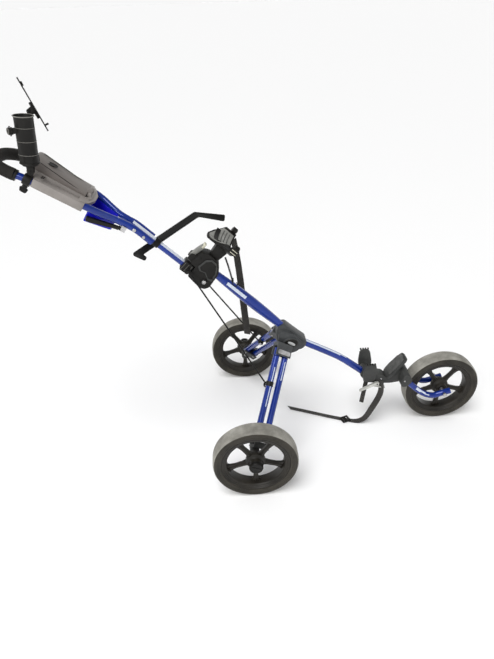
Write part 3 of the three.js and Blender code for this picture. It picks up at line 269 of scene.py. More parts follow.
FOAM = finish_of("grip_foam", (0.011, 0.0102, 0.009), (0.026, 0.024, 0.021), (0.75, 0.9), marks=(22.0, 0.7),
                 grain=(1400, 1.0, 0.5, 0.0006), shine=0.2)
BADGE = finish_of("blank_badge", (0.5, 0.51, 0.51), (0.36, 0.37, 0.37), (0.3, 0.42), 0.3, 0.4)
PLAIN_LINE = finish_of("moulded_line", (0.16, 0.155, 0.14), (0.24, 0.235, 0.215), (0.45, 0.6), marks=(30.0, 0.7))
WEBBING = woven("strap_webbing", (0.016, 0.014, 0.012), (0.04, 0.036, 0.03), 900.0, 60.0)
CORD_COVER = woven("braided_cover", (0.02, 0.02, 0.02), (0.05, 0.05, 0.05), 300.0, 12.0)

# ---------------------------------------------------------------- modelling tools


def take(*pieces):
    """Selects just the pieces given, the first one active."""
    bpy.ops.object.select_all(action="DESELECT")
    for piece in pieces:
        piece.select_set(True)
    bpy.context.view_layer.objects.active = pieces[0]
    return pieces[0]


def edit(piece, *steps):
    """Runs edit-mode steps on the whole of a piece."""
    take(piece)
    bpy.ops.object.mode_set(mode="EDIT")
    bpy.ops.mesh.select_all(action="SELECT")
    for step in steps:
        step()
    bpy.ops.object.mode_set(mode="OBJECT")
    return piece


def without(piece, unwanted):
    """Deletes the faces that unwanted picks out."""
    edit(piece, lambda: bpy.ops.mesh.select_all(action="DESELECT"), lambda: bpy.ops.mesh.select_mode(type="FACE"))
    for face in piece.data.polygons:
        face.select = unwanted(face)
    bpy.ops.object.mode_set(mode="EDIT")
    bpy.ops.mesh.delete(type="FACE")
    bpy.ops.mesh.select_mode(type="VERT")
    bpy.ops.object.mode_set(mode="OBJECT")
    return piece


def fixed(piece, place=None):
    """Moves a piece by a further place, if one is given, and keeps its place in its mesh."""
    piece.data.transform((place or Matrix.Identity(4)) @ piece.matrix_world)
    piece.matrix_world = Matrix.Identity(4)
    return piece


def modified(piece, kind, **settings):
    take(piece)
    modifier = piece.modifiers.new(kind.lower(), kind)
    for name, value in settings.items():
        setattr(modifier, name, value)
    bpy.ops.object.modifier_apply(modifier=modifier.name)
    return piece


def rounded(piece, width, segments=2, angle=30):
    return modified(piece, "BEVEL", width=width, segments=segments, limit_method="ANGLE",
                    angle_limit=math.radians(angle))


def smooth(piece, angle=35):
    take(piece)
    bpy.ops.object.shade_smooth_by_angle(angle=math.radians(angle))
    return piece


def outward(piece):
    return edit(piece, lambda: bpy.ops.mesh.remove_doubles(threshold=0.00002),
                lambda: bpy.ops.mesh.normals_make_consistent(inside=False))


def merged(name, pieces):
    first = take(*pieces)
    if len(pieces) > 1:
        bpy.ops.object.join()
    first.name = name
    first.data.name = name
    return first


def dressed(piece, *materials):
    piece.data.materials.clear()
    for material in materials:
        piece.data.materials.append(material)
    return piece


def on_node(piece, node, instead=False):
    """A piece that belongs with a CAD node, or stands in its place."""
    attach(piece, BODY_OF[node])
    if instead:
        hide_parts(node)
    return piece


def repeated(model, places, names=None):
    """A copy of a model at every place, each with its own mesh; the model itself goes."""
    copies = []
    for index, place in enumerate(places):
        piece = model.copy()
        piece.data = model.data.copy()
        piece.name = names[index] if names else f"{model.name}_{index}"
        scene.collection.objects.link(piece)
        copies.append(fixed(piece, place))
    bpy.data.objects.remove(model)
    return copies


def block(name, size, centre, edge=0.0, segments=2):
    bpy.ops.mesh.primitive_cube_add(size=1, location=centre, scale=size)
    piece = fixed(bpy.context.object)
    piece.name = name
    if edge:
        edit(piece, lambda: bpy.ops.mesh.bevel(offset=edge, segments=segments, affect="EDGES"))
    return piece


def disc(name, radius, depth, centre, axis, sides, edge=0.0):
    lean = {"X": (0, math.pi / 2, 0), "Y": (math.pi / 2, 0, 0), "Z": (0, 0, 0)}[axis]
    bpy.ops.mesh.primitive_cylinder_add(vertices=sides, radius=radius, depth=depth, location=centre, rotation=lean)
    piece = fixed(bpy.context.object)
    piece.name = name
    return rounded(piece, edge, 2, 50) if edge else piece


def ring(name, major, minor, centre, axis, sides, minor_sides):
    """A wire ring: a small round section spun about the axis given."""
    steps = (2 * math.pi * index / minor_sides for index in range(minor_sides))
    piece = spun(name, [(major + minor * math.cos(a), minor * math.sin(a)) for a in steps], sides)
    lean = {"X": turn(90, "Z"), "Y": turn(0, "Z"), "Z": turn(90, "X")}[axis]
    return fixed(piece, shift(*centre) @ lean)


def drawn_face(name, points):
    """A flat face whose corners are dragged to the places given."""
    bpy.ops.mesh.primitive_circle_add(vertices=len(points), radius=0.01, fill_type="NGON")
    piece = fixed(bpy.context.object)
    piece.name = name
    for vertex, point in zip(piece.data.vertices, points):
        vertex.co = point
    return piece


def plate(name, outline, thickness, edge=0.0, segments=2):
    """An outline in X and Z with its thickness spread evenly along Y."""
    piece = drawn_face(name, [(x, -thickness / 2, z) for x, z in outline])
    edit(piece, lambda: bpy.ops.mesh.extrude_region_move(TRANSFORM_OT_translate={"value": (0, thickness, 0)}))
    outward(piece)
    return rounded(piece, edge, segments, 20) if edge else piece


def spun(name, profile, steps=64):
    """A [radius, y] profile spun about the Y axis."""
    bpy.ops.mesh.primitive_circle_add(vertices=len(profile), radius=0.01, fill_type="NOTHING")
    piece = fixed(bpy.context.object)
    piece.name = name
    for vertex, (radius, y) in zip(piece.data.vertices, profile):
        vertex.co = (radius, y, 0)
    edit(piece, lambda: bpy.ops.mesh.spin(steps=steps, angle=2 * math.pi, center=(0, 0, 0), axis=(0, 1, 0)))
    return outward(piece)


def through(points, count):
    """A smooth line through the points given, eased by the distance between them."""
    points = [Vector(p) for p in points]
    ends = [points[0] * 2 - points[1], *points, points[-1] * 2 - points[-2]]
    line = []
    for index in range(1, len(ends) - 2):
        a, b, c, d = ends[index - 1:index + 3]
        t0, t1 = 0.0, math.sqrt(max((b - a).length, 1e-9))
        t2 = t1 + math.sqrt(max((c - b).length, 1e-9))
        t3 = t2 + math.sqrt(max((d - c).length, 1e-9))
        for step in range(count):
            t = t1 + (t2 - t1) * step / count
            ab = a * ((t1 - t) / (t1 - t0)) + b * ((t - t0) / (t1 - t0))
            bc = b * ((t2 - t) / (t2 - t1)) + c * ((t - t1) / (t2 - t1))
            cd = c * ((t3 - t) / (t3 - t2)) + d * ((t - t2) / (t3 - t2))
            abc = ab * ((t2 - t) / (t2 - t0)) + bc * ((t - t0) / (t2 - t0))
            bcd = bc * ((t3 - t) / (t3 - t1)) + cd * ((t - t1) / (t3 - t1))
            line.append(abc * ((t2 - t) / (t2 - t1)) + bcd * ((t - t1) / (t2 - t1)))
    line.append(points[-1])
    return line


def round_bar(name, line, radius, radii=None, sides=6, place=None):
    """A round bar or tube along a line, its radius varied where radii are given."""
    curve = bpy.data.curves.new(name, "CURVE")
    curve.dimensions = "3D"
    curve.bevel_depth = radius
    curve.bevel_resolution = sides
    curve.use_fill_caps = True
    spline = curve.splines.new("POLY")
    spline.points.add(len(line) - 1)
    for index, point in enumerate(line):
        spline.points[index].co = (*point, 1)
        spline.points[index].radius = radii[index] / radius if radii else 1
    piece = bpy.data.objects.new(name, curve)
    scene.collection.objects.link(piece)
    take(piece)
    bpy.ops.object.convert(target="MESH")
    piece = bpy.context.object
    outward(piece)
    return fixed(piece, place)


def finished(node, material, edge):
    """A CAD node's own shape with its edges eased and its faces smoothed."""
    source = frame["nodes"][node]
    piece = source.copy()
    piece.data = source.data.copy()
    piece.name = node + "_shell"
    piece.hide_render = False
    scene.collection.objects.link(piece)
    edit(piece, lambda: bpy.ops.mesh.remove_doubles(threshold=0.00001),
         lambda: bpy.ops.mesh.dissolve_limited(angle_limit=math.radians(0.6)))
    if edge:
        rounded(piece, edge, 2, 32)
    dressed(smooth(piece, 38), material)
    return on_node(piece, node, instead=True)


# ---------------------------------------------------------------- camera, light and floor


def add_camera():
    pitch, yaw, roll = 0.565, 0.039, -0.034
    forward = Vector((math.sin(yaw) * math.cos(pitch), math.cos(yaw) * math.cos(pitch), -math.sin(pitch)))
    right = Vector((math.cos(yaw), -math.sin(yaw), 0))
    up = right.cross(forward)
    across = right * math.cos(roll) + up * math.sin(roll)
    rise = up * math.cos(roll) - right * math.sin(roll)
    camera = bpy.data.objects.new("camera", bpy.data.cameras.new("camera"))
    camera.data.sensor_width = 36
    camera.data.lens = 28.4
    camera.matrix_world = Matrix.Translation(at(-0.064, -1.621, 1.492)) @ Matrix(
        (across, rise, -forward)).transposed().to_4x4()
    scene.collection.objects.link(camera)
    scene.camera = camera


def add_lamp(name, place, aim, size, power):
    lamp = bpy.data.objects.new(name, bpy.data.lights.new(name, "AREA"))
    lamp.data.shape = "RECTANGLE"
    lamp.data.size, lamp.data.size_y = size
    lamp.data.energy = power
    lamp.location = place
    lamp.rotation_euler = (Vector(aim) - Vector(place)).to_track_quat("-Z", "Y").to_euler()
    scene.collection.objects.link(lamp)


def add_floor():
    bpy.ops.mesh.primitive_plane_add(size=1600)
    floor = bpy.context.object
    floor.name = "floor"
    paper = bpy.data.materials.new("pale_paper")
    paper.use_nodes = True
    shader = paper.node_tree.nodes["Principled BSDF"]
    shader.inputs["Base Color"].default_value = (0.93, 0.93, 0.93, 1)
    shader.inputs["Roughness"].default_value = 0.9
    shader.inputs["Specular IOR Level"].default_value = 0.1
    dressed(floor, paper)


def add_world():
    """An even surround, pale low down and dimmer overhead."""
    scene.world = bpy.data.worlds.new("studio")
    scene.world.use_nodes = True
    nodes, links = scene.world.node_tree.nodes, scene.world.node_tree.links
    height = nodes.new("ShaderNodeSeparateXYZ")
    links.new(nodes.new("ShaderNodeTexCoord").outputs["Generated"], height.inputs[0])
    fade = nodes.new("ShaderNodeMapRange")
    for socket, value in (("From Min", 0.2), ("From Max", 0.5), ("To Min", 0.94), ("To Max", 0.4)):
        fade.inputs[socket].default_value = value
    links.new(height.outputs["Z"], fade.inputs["Value"])
    nodes["Background"].inputs["Color"].default_value = (1, 1, 1, 1)
    links.new(fade.outputs["Result"], nodes["Background"].inputs["Strength"])


def add_studio():
    add_floor()
    add_world()
    sky = bpy.data.objects.new("overhead", bpy.data.lights.new("overhead", "SUN"))
    sky.data.energy = 1.9
    sky.data.angle = 0.6
    sky.rotation_euler = (math.radians(16), math.radians(-14), 0)
    scene.collection.objects.link(sky)
    add_lamp("near_side", (-1.2, -2.6, 2.6), (0, 0, 0.5), (1.6, 0.7), 26)
    scene.view_settings.view_transform = "Standard"


add_camera()
add_studio()

# ---------------------------------------------------------------- straps and cords
WEBBING_WIDTH = 0.025
WEBBING_THICKNESS = 0.0016


def strap(name, points, widths, node, width=WEBBING_WIDTH):
    """Flat webbing laid along a route; widths gives the way its width points at each place."""
    line = through(points, 8)
    ways = through(widths, 8)
    bpy.ops.mesh.primitive_grid_add(x_subdivisions=len(line) - 1, y_subdivisions=4, size=1)
    piece = fixed(bpy.context.object)
    piece.name = name
    last = len(line) - 1
    for vertex in piece.data.vertices:
        index = round((vertex.co.x + 0.5) * last)
        vertex.co = line[index] + ways[index].normalized() * (vertex.co.y * width)
    modified(piece, "SOLIDIFY", thickness=WEBBING_THICKNESS, offset=0)
    outward(piece)
    smooth(piece, 50)
    dressed(piece, WEBBING)
    on_node(piece, node, instead=True)
    return piece


def strap_buckle():
    frame_bar = block("buckle_frame", (0.036, 0.032, 0.0072), (0, 0, 0), 0.0016)
    for x in (-0.0085, 0.0085):
        slot = block("buckle_slot", (0.008, 0.0262, 0.02), (x, 0, 0))
        modified(frame_bar, "BOOLEAN", operation="DIFFERENCE", object=slot, solver="EXACT")
        bpy.data.objects.remove(slot)
    piece = fixed(smooth(frame_bar, 40), Matrix.Translation(at(0.395, -0.015, 0.0052)) @ turn(20, "Z"))
    piece.name = "strap_buckle_frame"
    dressed(piece, BLACK)
    return on_node(piece, "strap_buckle", instead=True)


buckle = strap_buckle()
strap("lower_strap_webbing",
      [at(0.519, -0.033, 0.212), at(0.519, -0.042, 0.161), at(0.492, -0.041, 0.080), at(0.466, -0.034, 0.020),
       at(0.440, -0.028, 0.0035), at(0.395, -0.015, 0.0035), at(0.337, 0.008, 0.0035), at(0.255, 0.044, 0.0035),
       at(0.172, 0.080, 0.0035)],
      [(0.5, -0.85, 0.1), (0.6, -0.8, 0.1), (0.5, -0.85, -0.1), (0.3, -0.95, 0), (0.25, -0.97, 0), (0.35, -0.94, 0),
       (0.4, -0.92, 0), (0.4, -0.92, 0), (0.4, -0.92, 0)],
      "lower_strap")
strap("lower_strap_end",
      [at(0.463, -0.018, 0.199), at(0.458, -0.020, 0.150), at(0.453, -0.020, 0.097)],
      [(0.9, -0.4, 0), (0.92, -0.38, 0), (0.85, -0.5, 0)], "lower_strap_tail", width=0.017)
strap("upper_strap_webbing",
      [at(-0.034, 0.072, 0.792), at(-0.022, 0.060, 0.700), at(-0.010, 0.050, 0.560), at(0.002, 0.045, 0.415)],
      [(0.7, 0.7, 0), (0.9, 0.4, 0), (0.95, 0.3, 0), (0.9, -0.4, 0)], "upper_strap")


def shock_cord():
    line = through([at(-0.066, -0.062, 0.785), at(-0.056, -0.060, 0.745), at(-0.046, -0.054, 0.694)], 8)
    hook = round_bar("hook_wire", through([(0, 0, 0.004), (0, 0, -0.012), (0.009, 0, -0.022), (0.016, 0, -0.014),
                                           (0.013, 0, -0.006)], 6), 0.0016, place=Matrix.Translation(line[-1]))
    collar = disc("hook_collar", 0.0042, 0.014, line[-1] + Vector((0, 0, 0.004)), "Z", 16, 0.001)
    hook = merged("cord_hook", [hook, collar])
    smooth(hook, 50)
    dressed(hook, BLACK_METAL)
    on_node(hook, "upper_bungee")
    piece = round_bar("shock_cord", line, 0.003, sides=4)
    smooth(piece, 60)
    dressed(piece, CORD_COVER)
    on_node(piece, "upper_bungee", instead=True)


shock_cord()

# ---------------------------------------------------------------- wheels
TREAD_EDGE = 0.1442
SPOKES = 5
CAP_RIBS = 24


def tyre():
    half = [(0.1200, 0.0268), (0.1230, 0.0284), (0.1262, 0.0290), (0.1272, 0.0282), (0.1312, 0.0299),
            (0.1322, 0.0290), (0.1362, 0.0305), (0.1374, 0.0297), (0.1412, 0.0300), (0.1442, 0.0286),
            (0.1466, 0.0250), (0.1480, 0.0190), (0.1484, 0.0120), (0.1478, 0.0108), (0.1478, 0.0092),
            (0.1485, 0.0080), (0.1485, 0.0)]
    piece = spun("tyre", half + [(radius, -y) for radius, y in half[-2::-1]], 96)
    dressed(piece, SIDEWALL, TREAD)
    for face in piece.data.polygons:
        face.material_index = int(math.hypot(face.center.x, face.center.z) > TREAD_EDGE)
    return smooth(piece, 28)


def rim():
    barrel_side = [(0.1192, 0.0262), (0.1176, 0.0274), (0.1140, 0.0268), (0.1128, 0.0248), (0.1092, 0.0240),
                   (0.1080, 0.0222), (0.1038, 0.0214), (0.1008, 0.0180), (0.0992, 0.0080)]
    boss_side = [(0.0086, 0.0288), (0.0190, 0.0288), (0.0212, 0.0270), (0.0232, 0.0160), (0.0270, 0.0120),
                 (0.0330, 0.0092), (0.0345, 0.0050)]
    barrel, boss = (spun(name, side + [(radius, -y) for radius, y in side[::-1]], steps)
                    for name, side, steps in (("barrel", barrel_side, 80), ("boss", boss_side, 48)))
    blade_side = [(0.028, 0.0125), (0.046, 0.0088), (0.074, 0.0082), (0.090, 0.0115), (0.1012, 0.0200)]
    rib_side = [(0.026, 0.0052), (0.100, 0.0038)]
    blade, rib = (plate(name, side + [(x, -z) for x, z in side[::-1]], thickness, edge, segments)
                  for name, side, thickness, edge, segments in (("blade", blade_side, 0.0116, 0.0018, 3),
                                                                ("rib", rib_side, 0.0170, 0.0014, 2)))
    spoke = merged("spoke", [blade, rib])
    spokes = repeated(spoke, [turn((index / SPOKES + 0.05) * 360, "Y") for index in range(SPOKES)])
    return smooth(dressed(merged("rim", [barrel, boss, *spokes]), RIM), 32)


def axle_cap():
    body = spun("cap_body", [(0.0005, 0.0300), (0.0180, 0.0296), (0.0232, 0.0300), (0.0240, 0.0312),
                             (0.0240, 0.0395), (0.0224, 0.0428), (0.0196, 0.0440), (0.0184, 0.0428),
                             (0.0005, 0.0424)], 48)
    bar = block("cap_bar", (0.034, 0.0034, 0.0072), (0, 0.0424, 0), 0.0012)
    rib = block("cap_rib", (0.0014, 0.0086, 0.0030), (0.0240, 0.0352, 0), 0.0004)
    ribs = repeated(rib, [turn(index * 360 / CAP_RIBS, "Y") for index in range(CAP_RIBS)])
    return smooth(dressed(merged("cap", [body, bar, *ribs]), BLACK), 30)


def place_wheels():
    """One tyre, rim and cap are modelled; every wheel gets its own tyre and rim, and each rear wheel its own cap."""
    centres = {"rear_wheel_left": at(0, TRACK / 2, WHEEL_RADIUS), "rear_wheel_right": at(0, -TRACK / 2, WHEEL_RADIUS),
               "front_wheel": at(WHEELBASE, 0, WHEEL_RADIUS)}
    places = [Matrix.Translation(centre) for centre in centres.values()]
    for part, model in (("tyre", tyre()), ("rim", rim())):
        pieces = repeated(model, places, [f"{wheel}_{part}_piece" for wheel in centres])
        for wheel, piece in zip(centres, pieces):
            on_node(piece, f"{wheel}_{part}", instead=True)
    outward_ways = {"rear_wheel_left": turn(25, "Y"), "rear_wheel_right": turn(180, "Z") @ turn(-25, "Y")}
    caps = repeated(axle_cap(), [Matrix.Translation(centres[wheel]) @ way for wheel, way in outward_ways.items()],
                    [f"{wheel}_cap_piece" for wheel in outward_ways])
    for wheel, piece in zip(outward_ways, caps):
        on_node(piece, f"{wheel}_hub_cap", instead=True)


place_wheels()

# ---------------------------------------------------------------- painted tubes


def main_tube():
    """A tube that swells a little between the hub and the block."""
    start, length, steps = -0.026, 0.398, 40
    swell, swell_length = 0.006, 0.318
    ways = [start + length * step / steps for step in range(steps + 1)]
    radii = [TUBE_RADIUS + swell * math.sin(math.pi * min(max(along / swell_length, 0), 1)) for along in ways]
    line = [Vector((-along, 0, 0)) for along in ways]
    tube = round_bar("main_tube_skin", line, TUBE_RADIUS, radii, 8, TUBE_FRAME)
    on_node(dressed(smooth(tube), PAINT), "main_tube", instead=True)


def inner_tube():
    """A painted tube with a painted highlight along its top: a pale strip on its upward faces."""
    tube = round_bar("inner_tube_skin", [Vector((x, 0, INNER_DROP)) for x in (-0.330, -0.648)], 0.012, sides=8,
                     place=TUBE_FRAME)
    dressed(smooth(tube), PAINT, PAINTED_TOP_HIGHLIGHT)
    rise = TUBE_FRAME.to_3x3() @ Vector((0, 0, 1))
    # faces that point up get the pale painted highlight
    for face in tube.data.polygons:
        face.material_index = int(face.normal.dot(rise) > 0.62)
    on_node(tube, "inner_tube", instead=True)


FRONT_RADIUS = 0.0135
FRONT_ROUTE = [(0.192, 0, 0.407), (0.217, 0, 0.393), (0.290, 0, 0.353), (0.356, 0, 0.314), (0.419, 0, 0.265),
               (0.470, 0, 0.224)]


def front_line():
    return [at(*p) for p in through(FRONT_ROUTE, 8)]


def front_tube():
    tube = round_bar("front_tube_skin", front_line(), FRONT_RADIUS, sides=8)
    on_node(dressed(smooth(tube), PAINT), "front_tube", instead=True)


def leg_frame(side):
    """The leg's own frame: X down the leg, Z from the front tube to the rear one."""
    x, y, z = LEG_WAY
    down = Vector((x, y * side, z)).normalized()
    rise = TUBE_FRAME.to_3x3() @ Vector((-1, 0, 0))
    back = (rise - down * rise.dot(down)).normalized()
    x, y, z = LEG_PIVOT
    return Matrix.Translation(at(x, y * side, z)) @ Matrix((down, back.cross(down), back)).transposed().to_4x4()


def leg_tubes():
    """Four tubes alike, each with a ring near both of its ends."""
    places = {f"leg_{kind}_tube_{name}": leg_frame(side) @ shift(0, 0, offset)
              for name, side in SIDES for kind, offset in (("front", 0), ("rear", LEG_SPACING))}
    tube = round_bar("leg_tube", [Vector((-0.013, 0, 0)), Vector((0.335, 0, 0))], LEG_RADIUS, sides=7)
    dressed(smooth(tube, 40), PAINT)
    for node, piece in zip(places, repeated(tube, places.values(), [node + "_skin" for node in places])):
        on_node(piece, node, instead=True)
    cuff = ring("cuff", LEG_RADIUS + 0.0002, 0.0011, (0, 0, 0), "X", 32, 8)
    dressed(smooth(cuff, 60), BLACK)
    seats = [(node, x) for node in places for x in (0.0165, 0.3055)]
    cuffs = repeated(cuff, [places[node] @ shift(x, 0, 0) for node, x in seats],
                     [f"{node}_cuff_{int(x * 1000)}" for node, x in seats])
    for (node, _), piece in zip(seats, cuffs):
        on_node(piece, node)


def stay_clips():
    """A sleeve and a headed pin on each rear leg, where its stay rod ends."""
    seats = [leg_frame(side) @ shift(0.122, 0, LEG_SPACING) for _, side in SIDES]
    sleeve = spun("sleeve", [(LEG_RADIUS, -0.009), (LEG_RADIUS + 0.002, -0.0085), (LEG_RADIUS + 0.002, 0.0085),
                             (LEG_RADIUS, 0.009)], 32)
    dressed(smooth(sleeve, 40), BLACK)
    pin = merged("headed_pin", [disc("pin", 0.004, 0.026, (0, 0.013, 0), "Y", 20, 0.0008),
                                disc("head", 0.0062, 0.0022, (0, 0.0262, 0), "Y", 20, 0.0006)])
    dressed(smooth(pin, 40), STEEL)
    sleeves = repeated(sleeve, [seat @ turn(90, "Z") for seat in seats], [f"stay_clip_{name}" for name, _ in SIDES])
    pins = repeated(pin, [seat @ turn(0 if side > 0 else 180, "Z") for seat, (_, side) in zip(seats, SIDES)],
                    [f"stay_clip_pin_{name}" for name, _ in SIDES])
    for (name, _), *parts in zip(SIDES, sleeves, pins):
        for piece in parts:
            on_node(piece, f"leg_rear_tube_{name}")


GRIP_START = -0.367
GRIP_RADIUS = 0.018
GRIP_END_RADIUS = 0.0172
HANDLE_SIDE_ROUTE = [
    (0.0679, 0.024, -0.0121), (0, 0.024, 0), (-0.030, 0.025, 0), (-0.060, 0.030, 0), (-0.090, 0.043, 0.002),
    (-0.132, 0.063, 0.006), (-0.185, 0.074, 0.007), (-0.245, 0.080, 0.005), (-0.305, 0.084, 0.003),
    (-0.350, 0.085, 0), (-0.372, 0.085, -0.004), (-0.407, 0.077, -0.009), (-0.4329, 0.050, -0.013),
    (-0.442, 0.015, -0.014)]


def handle_route():
    right = [(x, -y, z) for x, y, z in HANDLE_SIDE_ROUTE]
    return through(right + HANDLE_SIDE_ROUTE[::-1], 6)


def handle_trim(piece, material, angle):
    return on_node(fixed(dressed(smooth(piece, angle), material), HANDLE_FRAME), "handle_tube")


def handle_tube():
    """The bent tube, the rivets through its lap and the bracket that holds the lever."""
    tube = round_bar("handle_tube_skin", handle_route(), HANDLE_RADIUS, sides=7)
    on_node(fixed(dressed(smooth(tube, 40), PAINT), HANDLE_FRAME), "handle_tube", instead=True)
    head = spun("rivet", [(0.0002, 0.0355), (0.0050, 0.0352), (0.0046, 0.0364), (0.0002, 0.0371)], 20)
    heads = repeated(head, [shift(0.0364, 0, -0.0065) @ turn(angle, "Z") for angle in (0, 180)])
    handle_trim(merged("lap_rivets", heads), STEEL, 50)
    ear = block("lever_ear", (0.016, 0.003, 0.020), (-0.031, -0.030, -0.014), 0.0012)
    ears = repeated(ear, [shift(0, y, 0) for y in (0.0075, -0.0075)])
    pin = disc("lever_pin", 0.0025, 0.019, (-0.031, -0.030, -0.017), "Y", 16, 0.0005)
    handle_trim(merged("lever_bracket", [*ears, pin]), STEEL, 35)


def grip():
    """The foam sleeve over the loop's far end, with a ring at both of its ends."""
    line = [p for p in handle_route() if p.x <= GRIP_START]
    radii = [GRIP_RADIUS] * len(line)
    radii[0] = radii[-1] = GRIP_END_RADIUS
    sleeve = round_bar("grip_sleeve", line, GRIP_RADIUS, radii, 9)
    on_node(fixed(dressed(smooth(sleeve, 40), FOAM), HANDLE_FRAME), "handle_grip", instead=True)
    collar = spun("collar", [(0.0112, -0.004), (GRIP_END_RADIUS, -0.003), (GRIP_END_RADIUS, 0.003),
                             (0.0112, 0.004)], 32)
    dressed(smooth(collar, 40), BLACK)
    places = [HANDLE_FRAME @ Matrix.Translation(end) @ shift(0.003, 0, 0) @ turn(90, "Z")
              for end in (line[0], line[-1])]
    for piece in repeated(collar, places, ["grip_end_ring_1", "grip_end_ring_2"]):
        on_node(piece, "handle_grip")


main_tube()
inner_tube()
front_tube()
leg_tubes()
stay_clips()
handle_tube()
grip()

# ---------------------------------------------------------------- everything that keeps its own shape
for node, material, edge in (
        ("hub_body", HUB_GREY, 0.0022), ("upper_block", BLACK, 0.0014), ("block_bolt", STEEL, 0.0005),
        ("bag_cradle", BLACK, 0.0012), ("cradle_pad", PAD, 0.0012), ("support_bail", BLACK_METAL, 0.0010),
        ("fold_pin", STEEL, 0.0005), ("lower_bracket", BRACKET_GREY, 0.0018), ("stop_plate", BRACKET_GREY, 0.0022),
        ("lower_wing_left", BRACKET_GREY, 0.0018), ("lower_wing_right", BRACKET_GREY, 0.0018),
        ("fork_arm_left", PAINT, 0.0), ("fork_arm_right", PAINT, 0.0), ("front_axle", STEEL, 0.0005),
        ("slide_collar", BLACK, 0.0012), ("stay_rod_left", BLACK_METAL, 0.0003),
        ("stay_rod_right", BLACK_METAL, 0.0003), ("latch_lever", PAD, 0.0014), ("lower_latch", SILVER, 0.0012),
        ("leg_pin_plate_left", STEEL, 0.0006), ("leg_pin_plate_right", STEEL, 0.0006),
        ("carrier_pin_plate_left", STEEL, 0.0006), ("carrier_pin_plate_right", STEEL, 0.0006),
        ("wheel_carrier_left", BRACKET_GREY, 0.0012), ("wheel_carrier_right", BRACKET_GREY, 0.0012),
        ("rear_axle_left", STEEL, 0.0005), ("rear_axle_right", STEEL, 0.0005),
        ("console_body", TAUPE_LIGHT, 0.0025), ("console_lid", TAUPE, 0.0030), ("accessory_pouch", POUCH, 0.0010),
        ("release_lever", BLACK, 0.0014), ("umbrella_clamp", BLACK, 0.0010), ("umbrella_holder", BLACK, 0.0008),
        ("umbrella_knob", BLACK, 0.0010), ("wing_screw", BLACK, 0.0010), ("scorecard_stem", BLACK_METAL, 0.0006),
        ("scorecard_plate", BLACK, 0.0008)):
    finished(node, material, edge)

# ---------------------------------------------------------------- printed lines, painted highlight and shade, and moulded details
CRADLE_CENTRE = 0.188


def added(piece, material, node, place=None):
    """A trim piece that belongs with a CAD node."""
    dressed(smooth(piece), material)
    return on_node(fixed(piece, place), node)


def added_copies(model, places, material, node, place=None):
    """Trim that repeats: the model is copied to every place."""
    for piece in repeated(model, places):
        added(piece, material, node, place)


def painted_line(name, line, radius, toward, share, material, node, place=None):
    """A thin band on the side of a round tube that faces toward: printed bands, and the painted highlight on the
    front tube.
    """
    piece = round_bar(name, line, radius + 0.0001, sides=9)
    toward = Vector(toward).normalized()
    without(piece, lambda face: face.normal.dot(toward) < share or len(face.vertices) > 4)
    modified(piece, "SOLIDIFY", thickness=0.0003, offset=1)
    return added(piece, material, node, place)


def ellipse(x, z, width, height):
    return [(x + width / 2 * math.cos(a), z + height / 2 * math.sin(a))
            for a in (2 * math.pi * index / 32 for index in range(32))]


def frame_strip(name, outline, inset, thickness, y):
    """A flat rim that follows an outline, open in the middle."""
    centre = Vector((sum(x for x, _ in outline) / len(outline), sum(z for _, z in outline) / len(outline)))
    inner = [tuple(centre + (Vector(p) - centre) * inset) for p in outline]
    piece = plate(name, outline, thickness, 0.0005, 1)
    hole = plate("hole", inner, thickness * 3)
    modified(piece, "BOOLEAN", operation="DIFFERENCE", object=hole, solver="EXACT")
    bpy.data.objects.remove(hole)
    return fixed(piece, shift(0, y, 0))


def tube_lines():
    front = front_line()[6:-12]
    # painted highlight: a pale strip along the top of the front tube, where the overhead light falls
    painted_line("front_tube_highlight", front, FRONT_RADIUS, (0.25, -0.35, 1), 0.93, PRINT_AND_HIGHLIGHT, "front_tube")
    for name, side in SIDES:
        place = leg_frame(side)
        toward = place.inverted().to_3x3() @ Vector((0.25, side, 0.35))
        for kind, offset, start, end in (("rear", LEG_SPACING, 0.060, 0.205), ("front", 0, 0.03, 0.10)):
            line = [Vector((start + (end - start) * step / 6, 0, offset)) for step in range(7)]
            painted_line(f"leg_{kind}_band_{name}", line, LEG_RADIUS, toward, 0.93, PRINT_AND_HIGHLIGHT,
                         f"leg_{kind}_tube_{name}", place)
    line = [Vector((-0.19 - 0.011 * step, 0, 0)) for step in range(9)]
    toward = TUBE_FRAME.inverted().to_3x3() @ Vector((0, -1, 0.5))
    painted_line("main_tube_band", line, TUBE_RADIUS + 0.0061, toward, 0.93, PRINT_AND_HIGHLIGHT, "main_tube", TUBE_FRAME)


def umbrella_details():
    for name, radius, minor, height, material in (
            ("holder_mouth_lip", 0.0272, 0.0015, 0.1495, PLAIN_LINE),
            ("holder_line_high", 0.0261, 0.0006, 0.120, PLAIN_LINE),
            ("holder_line_middle", 0.0261, 0.0006, 0.084, PLAIN_LINE),
            ("holder_line_low", 0.0261, 0.0006, 0.048, PLAIN_LINE),
            ("holder_foot_flare", 0.0262, 0.0022, 0.024, BLACK)):
        added(ring(name, radius, minor, (0, 0, height), "Z", 56, 10), material, "umbrella_holder", UMBRELLA_FRAME)
    rib = block("holder_rib", (0.0022, 0.0022, 0.018), (0.0262, 0, 0.036), 0.0006)
    added_copies(rib, [turn(index * 60 + 15, "Z") for index in range(6)], BLACK, "umbrella_holder", UMBRELLA_FRAME)
    angle = math.radians(35)
    reach = Vector((-math.cos(angle), -math.sin(angle), 0))
    lean = reach.to_track_quat("Z", "Y").to_matrix().to_4x4()
    for name, major, out, material in (("knob_outer_ring", 0.0125, 0.040, BLACK),
                                       ("knob_face_ring", 0.0078, 0.0462, PLAIN_LINE)):
        piece = fixed(ring(name, major, 0.0011, (0, 0, 0), "Z", 36, 8),
                      Matrix.Translation(reach * out + Vector((0, 0, 0.112))) @ lean)
        added(piece, material, "umbrella_knob", UMBRELLA_FRAME)


